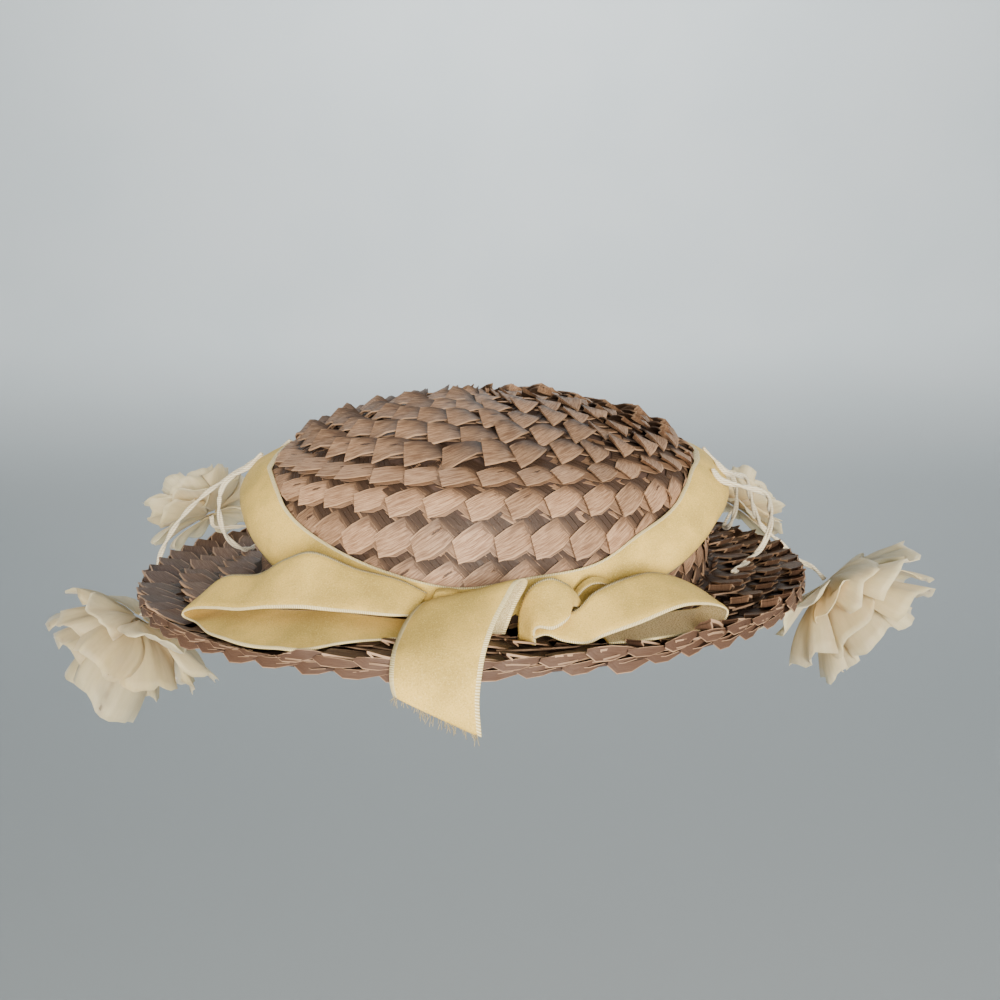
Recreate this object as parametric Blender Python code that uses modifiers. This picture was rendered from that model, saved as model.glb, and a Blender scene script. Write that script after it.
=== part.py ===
"""A braided straw pillbox hat with a narrow brim, a velvet ribbon band and bow, and two sprays of silk flowers.

The frame has +Z up and its origin at the centre of the head opening, level with the brim's underside. The bow is at
-Y, the back of the hat, and the two sprays flank the front, at +Y. Azimuths run from the bow towards +X, in degrees.
"""

import math

import bmesh
import bpy
from mathutils import Matrix, Vector

MM = 0.001

# Straw body
BRIM_RADIUS = 127 * MM
BRIM_SHIFT = -4.5 * MM  # the brim is a little wider on its left than on its right
HEAD_RADIUS = 83 * MM
STRAW_WALL = 2.2 * MM
ROW_STEP = 1.3 * MM  # how far a braid row's lip stands over the next row
SEAM_GAP = 0.3 * MM
STRAW_SEGMENTS = 48
# The lower edge of each braid row on the crown, from the tip to the head opening: (radius, height)
CROWN_ROWS = [
    (14 * MM, 69.4 * MM),
    (27 * MM, 68.4 * MM),
    (39.5 * MM, 66 * MM),
    (51.5 * MM, 62.6 * MM),
    (63 * MM, 58.4 * MM),
    (74 * MM, 53.6 * MM),
    (83 * MM, 46.8 * MM),
    (86.5 * MM, 35 * MM),
    (87.5 * MM, 22.6 * MM),
    (88 * MM, 10.4 * MM),
    (88 * MM, 2.9 * MM),
]
# The crown's top leans towards the bow: the slope, and the heights between which it sets in
LEAN = 0.06
LEAN_FROM = 36 * MM
LEAN_FULL = 54 * MM
# The brim's rows: outer radius of each, with the last at the rim
BRIM_ROWS = [101 * MM, 114 * MM, BRIM_RADIUS]
BRIM_TOP = 2.4 * MM
LIP_FOOT = 0.4 * MM  # how far a brim row's lip slants out over the next row
RIM_UNDER = 2 * MM  # the rim's lower corner is cut back this far under the brim, and this high
RIM_HEIGHT = 1 * MM
SEAM_MERGE = 0.05 * MM  # points of a turned shape this close are one

# Velvet ribbon
VELVET = 1.0 * MM
BAND_GAP = 1.5 * MM
BAND_SEGMENTS = 72
BAND_FLARE_TURN = 0.8 * math.pi  # the flare is widest past the middle of the ribbon, and less at its lower edge
BAND_PROBE = 0.01  # the share of the band's width over which its slope is taken
# The band sweeps down to the bow: (azimuth, height of the upper edge, of the lower edge, flare off the crown)
BAND_EDGES = [
    (-180, 52 * MM, 31 * MM, 5 * MM),
    (-90, 52 * MM, 32 * MM, 6 * MM),
    (-70, 50.5 * MM, 28.5 * MM, 6.5 * MM),
    (-58, 46.5 * MM, 22 * MM, 6.2 * MM),
    (-50, 41 * MM, 17 * MM, 5 * MM),
    (-40, 32 * MM, 11.5 * MM, 3.2 * MM),
    (-28, 25 * MM, 8 * MM, 1.8 * MM),
    (-14, 18.5 * MM, 5.6 * MM, 0.8 * MM),
    (0, 14.5 * MM, 4.9 * MM, 0.5 * MM),
    (13, 17 * MM, 5.2 * MM, 0.5 * MM),
    (27, 19.5 * MM, 6.4 * MM, 1 * MM),
    (38, 27 * MM, 10 * MM, 3 * MM),
    (48, 32.5 * MM, 14.5 * MM, 4.8 * MM),
    (57, 40 * MM, 20 * MM, 6.2 * MM),
    (66, 46.5 * MM, 25 * MM, 7 * MM),
    (90, 49.5 * MM, 28 * MM, 6.5 * MM),
    (180, 52 * MM, 31 * MM, 5 * MM),
]

# Each ribbon piece runs through stations: (x, y, z) of its back or left edge, then of its front or right edge, in mm
LEFT_LOOP = [
    ((-8.5, -94, 14), (-11.5, -102, 9.5)),
    ((-17, -93.5, 18), (-18, -106, 11)),
    ((-29, -93, 21), (-30, -107.5, 12.5)),
    ((-42, -92.5, 26), (-41, -108, 13.5)),
    ((-50, -92, 24), (-51, -105.5, 12.5)),
    ((-60, -89, 18.5), (-61, -103, 11.5)),
    ((-72, -84, 16), (-71, -99, 10.5)),
    ((-79.5, -81, 11.5), (-79, -95, 8.5)),
    ((-82.5, -81, 8), (-82.5, -93.5, 6.4)),
    ((-79, -84, 6.2), (-77.5, -97, 5)),
    ((-69, -89.5, 8), (-68.5, -107, 4.8)),
    ((-57, -94, 9.2), (-57.5, -114.5, 4.8)),
    ((-44, -97, 9.8), (-44.5, -119.5, 4.8)),
    ((-36, -98, 9.8), (-36.5, -121.5, 4.9)),
    ((-28, -98, 9), (-28.5, -115.5, 4.9)),
    ((-16, -97, 7.2), (-16.5, -109, 4.9)),
]
RIGHT_LOOP = [
    ((25.8, -108.2, 9.6), (26.3, -111, 7.5)),
    ((29.6, -105, 11), (30.8, -111.8, 6)),
    ((34.6, -103, 12.3), (36.8, -111.6, 5.3)),
    ((38.6, -98.8, 15.2), (41, -110.6, 6.8)),
    ((43, -95, 16.9), (45.5, -109.4, 8.4)),
    ((48.5, -90.5, 18), (50.5, -107.5, 10)),
    ((56, -86.5, 18.8), (57.5, -103.5, 11.5)),
    ((62, -83, 17), (66, -98, 12.3)),
    ((69, -80, 13.5), (73, -93, 11.3)),
    ((74, -79, 9.3), (78, -90, 8.4)),
    ((71.5, -79, 5.6), (76, -91.5, 5)),
    ((64, -81, 5), (69.5, -98.5, 4.9)),
    ((55, -83.5, 5), (61, -103, 4.9)),
    ((46, -88, 5), (51.5, -107.5, 4.9)),
    ((39, -93, 5), (43, -109, 4.8)),
]
PUFF = [
    ((18.4, -105, 4.3), (23.4, -109.6, 4.3)),
    ((18.8, -102.5, 11.5), (23, -110, 8)),
    ((21.6, -100, 17.4), (24.2, -109.8, 11.4)),
    ((26.6, -99, 20), (27, -108.8, 13.2)),
    ((31.2, -98.3, 18.4), (30, -107.4, 13.6)),
    ((34, -97, 15.6), (32.8, -103, 14)),
    ((36, -96, 11), (35.4, -98.8, 11)),
    ((36.8, -95.6, 6.4), (36.2, -98, 6.4)),
]
TUCK = [
    ((31.5, -87.6, 3.7), (32, -91, 4)),
    ((34, -87.2, 12), (34.6, -90.4, 11.4)),
    ((38.6, -86, 16.6), (39, -88.8, 15.4)),
    ((44, -83.8, 15.4), (44.8, -86.4, 14.4)),
    ((47, -82.6, 9.5), (48, -85.2, 9)),
]
TAIL = [
    ((-3, -99.5, 4.2), (14.5, -101, 4.3)),
    ((-4.2, -98.5, 9.2), (17.4, -100.5, 12)),
    ((-6, -100, 13), (21, -104, 20)),
    ((-9, -105, 13.2), (19, -109, 21.5)),
    ((-11.5, -112, 11), (16.5, -115, 18.6)),
    ((-12.5, -119, 8.6), (13.8, -121.5, 14.4)),
    ((-12.4, -125.5, 6.6), (12, -126.6, 10)),
    ((-12, -130, 3.4), (10.9, -130, 4.4)),
    ((-11.6, -131, 0.6), (10.2, -131.2, -3)),
    ((-11, -131, -1.6), (10.6, -131.4, -11.5)),
]
RIBBONS = {
    "bow_left_loop": LEFT_LOOP,
    "bow_right_loop": RIGHT_LOOP,
    "bow_puff": PUFF,
    "bow_tuck": TUCK,
    "bow_tail": TAIL,
}
RIBBON_STEPS = 3  # faces between two stations
RIBBON_ACROSS = 3
# The knot behind the tail: its centre and its half sizes
KNOT_CENTRE = Vector((-2.5, -93.9, 9.3)) * MM
KNOT_HALF = Vector((3.4, 1.9, 5.6)) * MM

# Silk flowers: name, place of the heart in mm, way that it faces, radius in mm, turn in degrees
FLOWERS = [
    ("flower_right_drop", (141, 10, -9), (0.62, -0.42, -0.66), 36, 10),
    ("flower_right_brim", (113, 56, 15), (0.5, 0.25, 0.83), 24, 35),
    ("flower_left_drop", (-158, 10, -28), (-0.55, -0.3, -0.78), 38, 50),
    ("flower_left_brim", (-142, 52, 12), (-0.5, 0.25, 0.83), 31, 20),
]
SILK = 1.0 * MM
PETALS = 5
PETAL_STEPS = 5  # faces across a petal
LAYER_STEP = 1.5 * MM  # between the outer and the inner corolla
HEART_RADIUS = 5 * MM
# Each corolla: share of the flower's radius, cup depth as a share of that, turn in petals
COROLLAS = {"outer": (1.0, 0.34, 0.0), "inner": (0.68, 0.62, 0.5)}
# Rings of a corolla from its heart out: share of the radius, share of the notch between petals
PETAL_RINGS = [(0.22, 0.0), (0.62, 0.25), (1.0, 1.0)]
PETAL_NOTCH = 0.32
PETAL_RUFFLE = 0.07
LOBE_ROUND = 0.8  # under 1 for petals that are broad at their ends
CUP_CURVE = 1.6  # over 1 for petals that are flat at the heart and rise at their ends
BALL_SEGMENTS = 10
BALL_RINGS = 6

# Covered wire stems
STEM_RADIUS = 1.1 * MM
STEM_STEPS = 3
STEM_GAP = 0.4 * MM
STEM_NECK = 7 * MM  # how far a stem runs straight behind its flower
STEM_HOLD = 0.22  # share of the band's width that a stem lies down on it for
# Each stem: name, azimuth and share down the band of its end, its route in mm, and the flower that it carries
STEMS = [
    (
        "stem_right_drop",
        78,
        0.2,
        [(103, -4, 36), (108, 6, 26), (114.5, 14, 14), (124, 18, 5.5), (131, 17, -1.5)],
        "flower_right_drop",
    ),
    (
        "stem_right_brim",
        96,
        0.2,
        [(102.5, 16, 34), (106, 22, 22), (106, 32, 11), (106.5, 45, 7)],
        "flower_right_brim",
    ),
    (
        "stem_right_curl",
        68,
        0.2,
        [(103, -30, 34), (109, -18, 26), (112, -8, 17), (109, -8, 9), (101, -18, 5.6), (93, -32, 5.2)],
        None,
    ),
    (
        "stem_left_drop",
        -97,
        0.15,
        [(-102, 12, 42), (-112, 12, 36), (-124, 11, 28), (-136, 11, 17), (-145, 11, 4), (-150, 11, -9)],
        "flower_left_drop",
    ),
    (
        "stem_left_brim",
        -80,
        0.2,
        [
            (-101, -18, 37),
            (-104, -19, 28),
            (-104, -16, 16),
            (-101, -8, 8),
            (-102, 8, 5.3),
            (-108, 28, 5.3),
            (-116, 45, 7.5),
        ],
        "flower_left_brim",
    ),
]

MATERIALS = {
    "straw": ((0.47, 0.32, 0.25, 1), 0.62),
    "velvet": ((0.74, 0.62, 0.38, 1), 0.9),
    "silk": ((0.82, 0.74, 0.58, 1), 0.8),
    "stem": ((0.80, 0.72, 0.52, 1), 0.7),
}


def clear_scene():
    for obj in list(bpy.data.objects):
        bpy.data.objects.remove(obj)


def material(name):
    """The named material, made once."""
    if name in bpy.data.materials:
        return bpy.data.materials[name]
    colour, roughness = MATERIALS[name]
    made = bpy.data.materials.new(name)
    made.use_nodes = True
    shader = made.node_tree.nodes["Principled BSDF"]
    shader.inputs["Base Color"].default_value = colour
    shader.inputs["Roughness"].default_value = roughness
    shader.inputs["Metallic"].default_value = 0.0
    return made


def place(obj, finish):
    """Puts an object in the hat's collection with its finish."""
    collection = bpy.data.collections.get("pillbox_hat")
    if collection is None:
        collection = bpy.data.collections.new("pillbox_hat")
        bpy.context.scene.collection.children.link(collection)
    collection.objects.link(obj)
    obj.data.materials.append(material(finish))
    return obj


def smoothstep(low, high, value):
    share = min(1.0, max(0.0, (value - low) / (high - low)))
    return share * share * (3 - 2 * share)


def between(table, key, column):
    """The column's value at key, from a table whose first column rises, along straight lines."""
    for before, after in zip(table, table[1:]):
        if key <= after[0]:
            share = (key - before[0]) / (after[0] - before[0])
            return before[column] + share * (after[column] - before[column])
    return table[-1][column]


def polar(azimuth, radius, height):
    """A point by its azimuth in degrees from the bow, its distance from the axis and its height."""
    angle = math.radians(azimuth)
    return Vector((radius * math.sin(angle), -radius * math.cos(angle), height))


def through(points, steps):
    """A smooth curve through the points, with that many steps between two of them."""
    points = [Vector(p) for p in points]
    ends = [2 * points[0] - points[1], *points, 2 * points[-1] - points[-2]]
    line = []
    for a, b, c, d in zip(ends, ends[1:], ends[2:], ends[3:]):
        for k in range(steps):
            t = k / steps
            line.append(
                0.5 * (2 * b + (c - a) * t + (2 * a - 5 * b + 4 * c - d) * t**2 + (3 * b - a - 3 * c + d) * t**3)
            )
    return [*line, points[-1]]


def leaned(point):
    """A point of the crown, once its top has settled towards the bow."""
    share = smoothstep(LEAN_FROM, LEAN_FULL, point.z)
    return Vector((point.x, point.y, point.z + LEAN * share * point.y))


def crown_radius(height):
    """Radius of the crown over its row lips at a height."""
    rising = [(z, r) for r, z in reversed(CROWN_ROWS)]
    return between(rising, max(height, rising[0][0]), 1)


def inward(row, depth):
    """The lip of a crown row, moved that far into the crown along the surface's normal."""
    before = CROWN_ROWS[max(row - 1, 0)]
    after = CROWN_ROWS[min(row + 1, len(CROWN_ROWS) - 1)]
    along = Vector((after[0] - before[0], after[1] - before[1])).normalized()
    radius, height = CROWN_ROWS[row]
    return radius + along.y * depth, height - along.x * depth


def turned(name, profile, closed, finish):
    """A profile in the XZ plane, turned about Z. It runs down its outer side."""
    mesh = bpy.data.meshes.new(name)
    edges = [(i, i + 1) for i in range(len(profile) - 1)]
    if closed:
        edges.append((len(profile) - 1, 0))
    mesh.from_pydata([(x, 0, z) for x, z in profile], edges, [])
    obj = place(bpy.data.objects.new(name, mesh), finish)
    screw = obj.modifiers.new("Turn", "SCREW")
    screw.axis = "Z"
    screw.steps = screw.render_steps = STRAW_SEGMENTS
    screw.use_merge_vertices = True
    screw.merge_threshold = SEAM_MERGE
    screw.use_smooth_shade = True
    return obj


def baked(obj):
    """The object with its modifiers applied to its mesh."""
    graph = bpy.context.evaluated_depsgraph_get()
    mesh = bpy.data.meshes.new_from_object(obj.evaluated_get(graph))
    obj.modifiers.clear()
    obj.data = mesh
    return obj


def make_crown():
    """The shell of braid rows, each lip standing over the row below it, open at the head."""
    outside = [(0, CROWN_ROWS[0][1])]
    for row in range(len(CROWN_ROWS) - 1):
        outside += [CROWN_ROWS[row], inward(row, ROW_STEP)]
    outside.append(CROWN_ROWS[-1])
    inside = [inward(row, ROW_STEP + STRAW_WALL) for row in range(len(CROWN_ROWS))]
    inside[-1] = (inside[-1][0], CROWN_ROWS[-1][1])
    crown = baked(turned("crown", outside + inside[::-1] + [(0, inside[0][1])], False, "straw"))
    for vertex in crown.data.vertices:
        vertex.co = leaned(vertex.co)


def make_brim():
    """The flat ring of braid rows that carries the crown, a little off the crown's axis at its rim."""
    top = [(BRIM_ROWS[-1], BRIM_TOP + ROW_STEP)]
    for outer in reversed(BRIM_ROWS[:-1]):
        top += [(outer + LIP_FOOT, BRIM_TOP), (outer, BRIM_TOP + ROW_STEP)]
    seat = CROWN_ROWS[-1][0] + SEAM_GAP
    top += [(seat, BRIM_TOP), (HEAD_RADIUS, BRIM_TOP)]
    under = [(HEAD_RADIUS, 0), (BRIM_RADIUS - RIM_UNDER, 0), (BRIM_RADIUS, RIM_HEIGHT)]
    brim = baked(turned("brim", (top + under)[::-1], True, "straw"))
    for vertex in brim.data.vertices:
        share = (vertex.co.xy.length - seat) / (BRIM_RADIUS - seat)
        vertex.co.x += BRIM_SHIFT * max(0.0, share)


def sheet(name, rows, closed, thickness, finish):
    """A wall of cloth through rows of points. The rows of a closed one run round to the first again."""
    mesh = bpy.data.meshes.new(name)
    solid = bmesh.new()
    made = [[solid.verts.new(p) for p in row] for row in rows]
    for before, after in zip(made, made[1:] + made[:1] if closed else made[1:]):
        for a, b, c, d in zip(before, before[1:], after[1:], after):
            solid.faces.new((a, b, c, d))
    solid.to_mesh(mesh)
    solid.free()
    mesh.shade_smooth()
    obj = place(bpy.data.objects.new(name, mesh), finish)
    wall = obj.modifiers.new("Wall", "SOLIDIFY")
    wall.thickness = thickness
    wall.offset = 0
    return obj


def band_section(azimuth, share):
    """Radius and height on the band at an azimuth, a share of the way from its upper to its lower edge."""
    upper, lower, flare = (between(BAND_EDGES, azimuth, column) for column in (1, 2, 3))
    height = upper + share * (lower - upper)
    return Vector((crown_radius(height) + BAND_GAP + flare * math.sin(BAND_FLARE_TURN * share), height))


def on_band(azimuth, share, off=0.0):
    """A point of the band, or that far off its face."""
    down = (band_section(azimuth, share + BAND_PROBE) - band_section(azimuth, share)).normalized()
    radius, height = band_section(azimuth, share) + Vector((-down.y, down.x)) * off
    return leaned(polar(azimuth, radius, height))


def make_band():
    """The ribbon round the crown, tight at the bow and flaring off the crown at the sides."""
    rows = []
    for k in range(BAND_SEGMENTS):
        azimuth = 360 * k / BAND_SEGMENTS - 180
        rows.append([on_band(azimuth, step / RIBBON_ACROSS) for step in range(RIBBON_ACROSS + 1)])
    sheet("ribbon_band", rows, True, VELVET, "velvet")


def ribbon(name, stations):
    """A strip of ribbon between two edges, each a smooth curve through the stations."""
    edges = [through([station[side] for station in stations], RIBBON_STEPS) for side in (0, 1)]
    rows = []
    for start, end in zip(*edges):
        rows.append([start.lerp(end, step / RIBBON_ACROSS) * MM for step in range(RIBBON_ACROSS + 1)])
    return sheet(name, rows, False, VELVET, "velvet")


def corolla_ring(radius, share, notch, cup, turn):
    """One ring of a corolla: lobes with notches between them, rising as a cup with a ruffle."""
    ring = []
    count = PETALS * PETAL_STEPS
    for step in range(count):
        angle = 2 * math.pi * step / count
        lobe = abs(math.cos(PETALS * angle / 2)) ** LOBE_ROUND
        reach = radius * share * (1 - PETAL_NOTCH * notch * (1 - lobe))
        ruffle = PETAL_RUFFLE * notch * math.sin(2 * PETALS * angle + turn)
        height = radius * (cup * share**CUP_CURVE + ruffle)
        around = angle + turn
        ring.append(Vector((reach * math.cos(around), reach * math.sin(around), height)))
    return ring


def corolla(name, radius, cup, turn):
    """A layer of petals, cut as one piece of silk, about its own Z axis with its heart at the origin."""
    solid = bmesh.new()
    heart = solid.verts.new((0, 0, 0))
    rings = [[solid.verts.new(p) for p in corolla_ring(radius, s, n, cup, turn)] for s, n in PETAL_RINGS]
    count = len(rings[0])
    for k in range(count):
        solid.faces.new((heart, rings[0][k], rings[0][(k + 1) % count]))
        for low, high in zip(rings, rings[1:]):
            solid.faces.new((low[k], high[k], high[(k + 1) % count], low[(k + 1) % count]))
    mesh = bpy.data.meshes.new(name)
    solid.to_mesh(mesh)
    solid.free()
    mesh.shade_smooth()
    obj = place(bpy.data.objects.new(name, mesh), "silk")
    wall = obj.modifiers.new("Wall", "SOLIDIFY")
    wall.thickness = SILK
    wall.offset = 0
    return obj


def make_flower(name, heart, facing, radius, turn):
    """Two corollas and a heart on one axis, under an empty that faces the flower."""
    stand = bpy.data.objects.new(name, None)
    bpy.context.scene.collection.objects.link(stand)
    aim = Vector(facing).to_track_quat("Z", "Y").to_matrix().to_4x4()
    stand.matrix_world = Matrix.Translation(Vector(heart) * MM) @ aim
    petal_turn = 2 * math.pi / PETALS
    for layer, (share, cup, offset) in enumerate(COROLLAS.values()):
        piece = corolla(
            f"{name}_{list(COROLLAS)[layer]}",
            radius * MM * share,
            cup,
            math.radians(turn) + offset * petal_turn,
        )
        piece.parent = stand
        piece.location.z = layer * LAYER_STEP
    make_heart(name, stand)


def ball(name, radius, finish):
    """A round body of a few faces about its own origin."""
    solid = bmesh.new()
    bmesh.ops.create_uvsphere(solid, u_segments=BALL_SEGMENTS, v_segments=BALL_RINGS, radius=radius)
    mesh = bpy.data.meshes.new(name)
    solid.to_mesh(mesh)
    solid.free()
    mesh.shade_smooth()
    return place(bpy.data.objects.new(name, mesh), finish)


def make_heart(name, stand):
    """The bud of wrapped stamens at a flower's centre."""
    bud = ball(name + "_heart", HEART_RADIUS, "silk")
    bud.parent = stand
    bud.location.z = LAYER_STEP + SILK / 2 + SEAM_GAP + HEART_RADIUS


def make_knot():
    """The ribbon gathered into a knot against the band, behind the tail."""
    knot = ball("bow_knot", 1, "velvet")
    for vertex in knot.data.vertices:
        vertex.co = vertex.co * KNOT_HALF
    knot.location = KNOT_CENTRE


def behind_flower(name, distance):
    """The point on a flower's axis that far behind its outer corolla, in mm."""
    for flower, heart, facing, _, _ in FLOWERS:
        if flower == name:
            return Vector(heart) - Vector(facing).normalized() * ((distance + SILK / 2) / MM)
    raise ValueError(name)


def make_stem(name, azimuth, share, route, flower):
    """A covered wire: down the band's face, along its route, and straight into the flower that it carries."""
    off = VELVET / 2 + STEM_GAP + STEM_RADIUS
    points = [on_band(azimuth, at, off) / MM for at in (share, share + STEM_HOLD)]
    points += [Vector(p) for p in route]
    if flower:
        points += [behind_flower(flower, STEM_NECK), behind_flower(flower, STEM_GAP)]
    curve = bpy.data.curves.new(name, "CURVE")
    curve.dimensions = "3D"
    curve.bevel_depth = STEM_RADIUS
    curve.bevel_resolution = 1
    curve.use_fill_caps = True
    line = through(points, STEM_STEPS)
    spline = curve.splines.new("POLY")
    spline.points.add(len(line) - 1)
    for point, spot in zip(spline.points, line):
        point.co = (*(spot * MM), 1)
    place(bpy.data.objects.new(name, curve), "stem")


def main():
    clear_scene()
    make_crown()
    make_brim()
    make_band()
    make_knot()
    for name, stations in RIBBONS.items():
        ribbon(name, stations)
    for flower in FLOWERS:
        make_flower(*flower)
    for stem in STEMS:
        make_stem(*stem)


main()
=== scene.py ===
# %% [markdown]
# # A braided straw hat with a velvet bow
#
# The real hat is a wide flat straw braid, sewn round and round in a spiral from the middle of the crown to
# the rim. A cream velvet ribbon runs round the crown and ends in a flat bow with one tail, and silk flowers
# hang at its sides. The frame below brings the solid parts at their real size. Everything here is made in
# metres, in that same frame.

# %% The frame
import math

import bpy
import numpy as np
from mathutils import Matrix, Vector, noise


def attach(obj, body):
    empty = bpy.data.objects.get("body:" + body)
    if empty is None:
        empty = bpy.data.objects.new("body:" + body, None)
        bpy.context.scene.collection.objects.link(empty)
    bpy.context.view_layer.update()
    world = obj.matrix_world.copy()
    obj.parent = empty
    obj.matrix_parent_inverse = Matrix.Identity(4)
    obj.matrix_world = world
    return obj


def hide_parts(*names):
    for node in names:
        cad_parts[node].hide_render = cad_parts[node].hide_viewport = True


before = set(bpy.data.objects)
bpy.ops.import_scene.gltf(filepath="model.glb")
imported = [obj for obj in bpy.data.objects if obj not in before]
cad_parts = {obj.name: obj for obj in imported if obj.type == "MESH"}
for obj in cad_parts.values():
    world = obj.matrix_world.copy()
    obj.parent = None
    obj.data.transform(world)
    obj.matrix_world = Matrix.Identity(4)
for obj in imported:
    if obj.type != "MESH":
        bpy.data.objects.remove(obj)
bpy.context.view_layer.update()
MM = 0.001

# %% [markdown]
# ## The camera
#
# The picture was taken from close by, a little above the brim and to the right of the bow, with a wide
# lens. A camera this near makes the bow large and the far side of the brim small, so its distance matters
# more than its zoom. One matrix places it, and one matrix for each of three small angles turns it.

# %% The camera
CAMERA_PLACE = Vector((28.9, -302.7, 73.3)) * MM
CAMERA_YAW, CAMERA_PITCH, CAMERA_ROLL = (math.radians(turn) for turn in (-4.34, -8.69, -0.76))
LENS_MM = 27
NEAREST = 10 * MM

camera_data = bpy.data.cameras.new("camera")
camera_data.lens = LENS_MM
camera_data.clip_start = NEAREST
camera = bpy.data.objects.new("camera", camera_data)
bpy.context.scene.collection.objects.link(camera)
camera.matrix_world = (
    Matrix.Translation(CAMERA_PLACE)
    @ Matrix.Rotation(-CAMERA_YAW, 4, "Z")
    @ Matrix.Rotation(math.pi / 2 + CAMERA_PITCH, 4, "X")
    @ Matrix.Rotation(CAMERA_ROLL, 4, "Z")
)
bpy.context.scene.camera = camera
print("camera", round(CAMERA_PLACE.length, 3), "m from the middle of the hat")


# %% [markdown]
# ## Small tools
#
# A few helpers come back in every step: choosing one object, applying its modifiers, closing a grid of
# points into a skin, and wiring shader nodes. Each material is built from nodes, and an effect that two
# materials share becomes a node group with named inputs.

# %% Helpers for objects
def select_only(obj):
    """Selects one object and makes it active, with all else deselected."""
    bpy.ops.object.select_all(action="DESELECT")
    obj.select_set(True)
    bpy.context.view_layer.objects.active = obj


def apply_modifiers(obj):
    """Applies an object's modifiers in their order."""
    select_only(obj)
    for modifier in list(obj.modifiers):
        bpy.ops.object.modifier_apply(modifier=modifier.name)
    return obj


def mesh_object(name, points, faces, uvs, finishes, **attributes):
    """A smooth mesh object from points in mm, with its finishes, a UV and named values for each point."""
    mesh = bpy.data.meshes.new(name)
    mesh.from_pydata((np.asarray(points) * MM).tolist(), [], [[int(k) for k in face] for face in faces])
    corners = np.empty(len(mesh.loops), dtype=np.int32)
    mesh.loops.foreach_get("vertex_index", corners)
    layer = mesh.uv_layers.new(name="UVMap")
    layer.data.foreach_set("uv", np.asarray(uvs, dtype=np.float32)[corners].ravel())
    for key, values in attributes.items():
        layer = mesh.attributes.new(key, "FLOAT", "POINT")
        layer.data.foreach_set("value", np.asarray(values, dtype=np.float32))
    mesh.shade_smooth()
    for finish in finishes:
        mesh.materials.append(finish)
    obj = bpy.data.objects.new(name, mesh)
    bpy.context.scene.collection.objects.link(obj)
    return obj


def grid_uv(along, across):
    """The UVs of a grid of points, from the values along and across it."""
    return np.stack(np.meshgrid(along, across, indexing="ij"), axis=-1).reshape(-1, 2)


def skin_faces(count, wide):
    """Faces of a closed skin: a front of count by wide points, a back in the same order, and the rim."""
    size = count * wide
    faces = []
    for i in range(count - 1):
        for j in range(wide - 1):
            quad = [i * wide + j, (i + 1) * wide + j, (i + 1) * wide + j + 1, i * wide + j + 1]
            faces += [quad, [size + k for k in reversed(quad)]]
    border = [i * wide for i in range(count)] + [(count - 1) * wide + j for j in range(1, wide)]
    border += [i * wide + wide - 1 for i in reversed(range(count - 1))] + list(range(wide - 2, 0, -1))
    for a, b in zip(border, border[1:] + border[:1]):
        faces.append([b, a, size + a, size + b])
    return faces


def joined(parts):
    """Several closed pieces of points, faces and UVs as one."""
    points, faces, uvs, start = [], [], [], 0
    for part_points, part_faces, part_uvs in parts:
        points.append(part_points)
        faces += [[k + start for k in face] for face in part_faces]
        uvs.append(part_uvs)
        start += len(part_points)
    return np.vstack(points), faces, np.vstack(uvs)


def belongs(obj, slot, *nodes):
    """Fixes a finished piece to the hat and hides the solids that it stands for. slot, the finish's name, is not
    used.
    """
    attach(obj, "root")
    if nodes:
        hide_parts(*nodes)
    return obj


# %% Helpers for shader nodes
def add_node(tree, kind, settings=None, **inputs):
    """A node with its settings, and with inputs that are values or other nodes' outputs."""
    made = tree.nodes.new(kind)
    for key, value in (settings or {}).items():
        setattr(made, key, value)
    for key, value in inputs.items():
        socket = made.inputs[int(key[1:])] if key[1:].isdigit() else made.inputs[key.replace("_", " ")]
        if isinstance(value, bpy.types.NodeSocket):
            tree.links.new(value, socket)
        else:
            socket.default_value = value
    return made


def calc(tree, operation, first, second=0.0):
    """The output of one sum, product or other piece of arithmetic."""
    return add_node(tree, "ShaderNodeMath", {"operation": operation}, _0=first, _1=second).outputs[0]


def object_place(tree):
    """Each point's place in its object's own frame, in metres."""
    return add_node(tree, "ShaderNodeTexCoord").outputs["Object"]


def own_uv(tree):
    """Each point's place on the mesh's UV map."""
    return add_node(tree, "ShaderNodeUVMap", {"uv_map": "UVMap"}).outputs[0]


def point_value(tree, name):
    """A value that the mesh keeps for each point under a name."""
    return add_node(tree, "ShaderNodeAttribute", {"attribute_name": name}).outputs["Fac"]


def in_parts(tree, vector):
    """A vector's X, Y and Z."""
    return add_node(tree, "ShaderNodeSeparateXYZ", _0=vector).outputs


def noise_at(tree, place, scale, detail):
    """The value of a cloudy noise at a place."""
    return add_node(tree, "ShaderNodeTexNoise", Vector=place, Scale=scale, Detail=detail).outputs["Fac"]


def bumped(tree, strength, distance, height):
    """A normal that follows a height, with distance in metres for a height of 1."""
    return add_node(tree, "ShaderNodeBump", Strength=strength, Distance=distance, Height=height).outputs[0]


def soft_step(tree, value, low, high, start=0.0, end=1.0):
    """The value's place between low and high as a smooth ramp from start to end."""
    settings = {"interpolation_type": "SMOOTHSTEP"}
    made = add_node(tree, "ShaderNodeMapRange", settings, _0=value, _1=low, _2=high, _3=start, _4=end)
    return made.outputs[0]


def blend(tree, share, first, second, kind="MIX"):
    """One colour blended into another."""
    settings = {"data_type": "RGBA", "blend_type": kind}
    return add_node(tree, "ShaderNodeMix", settings, _0=share, _6=first, _7=second).outputs[2]


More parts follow.
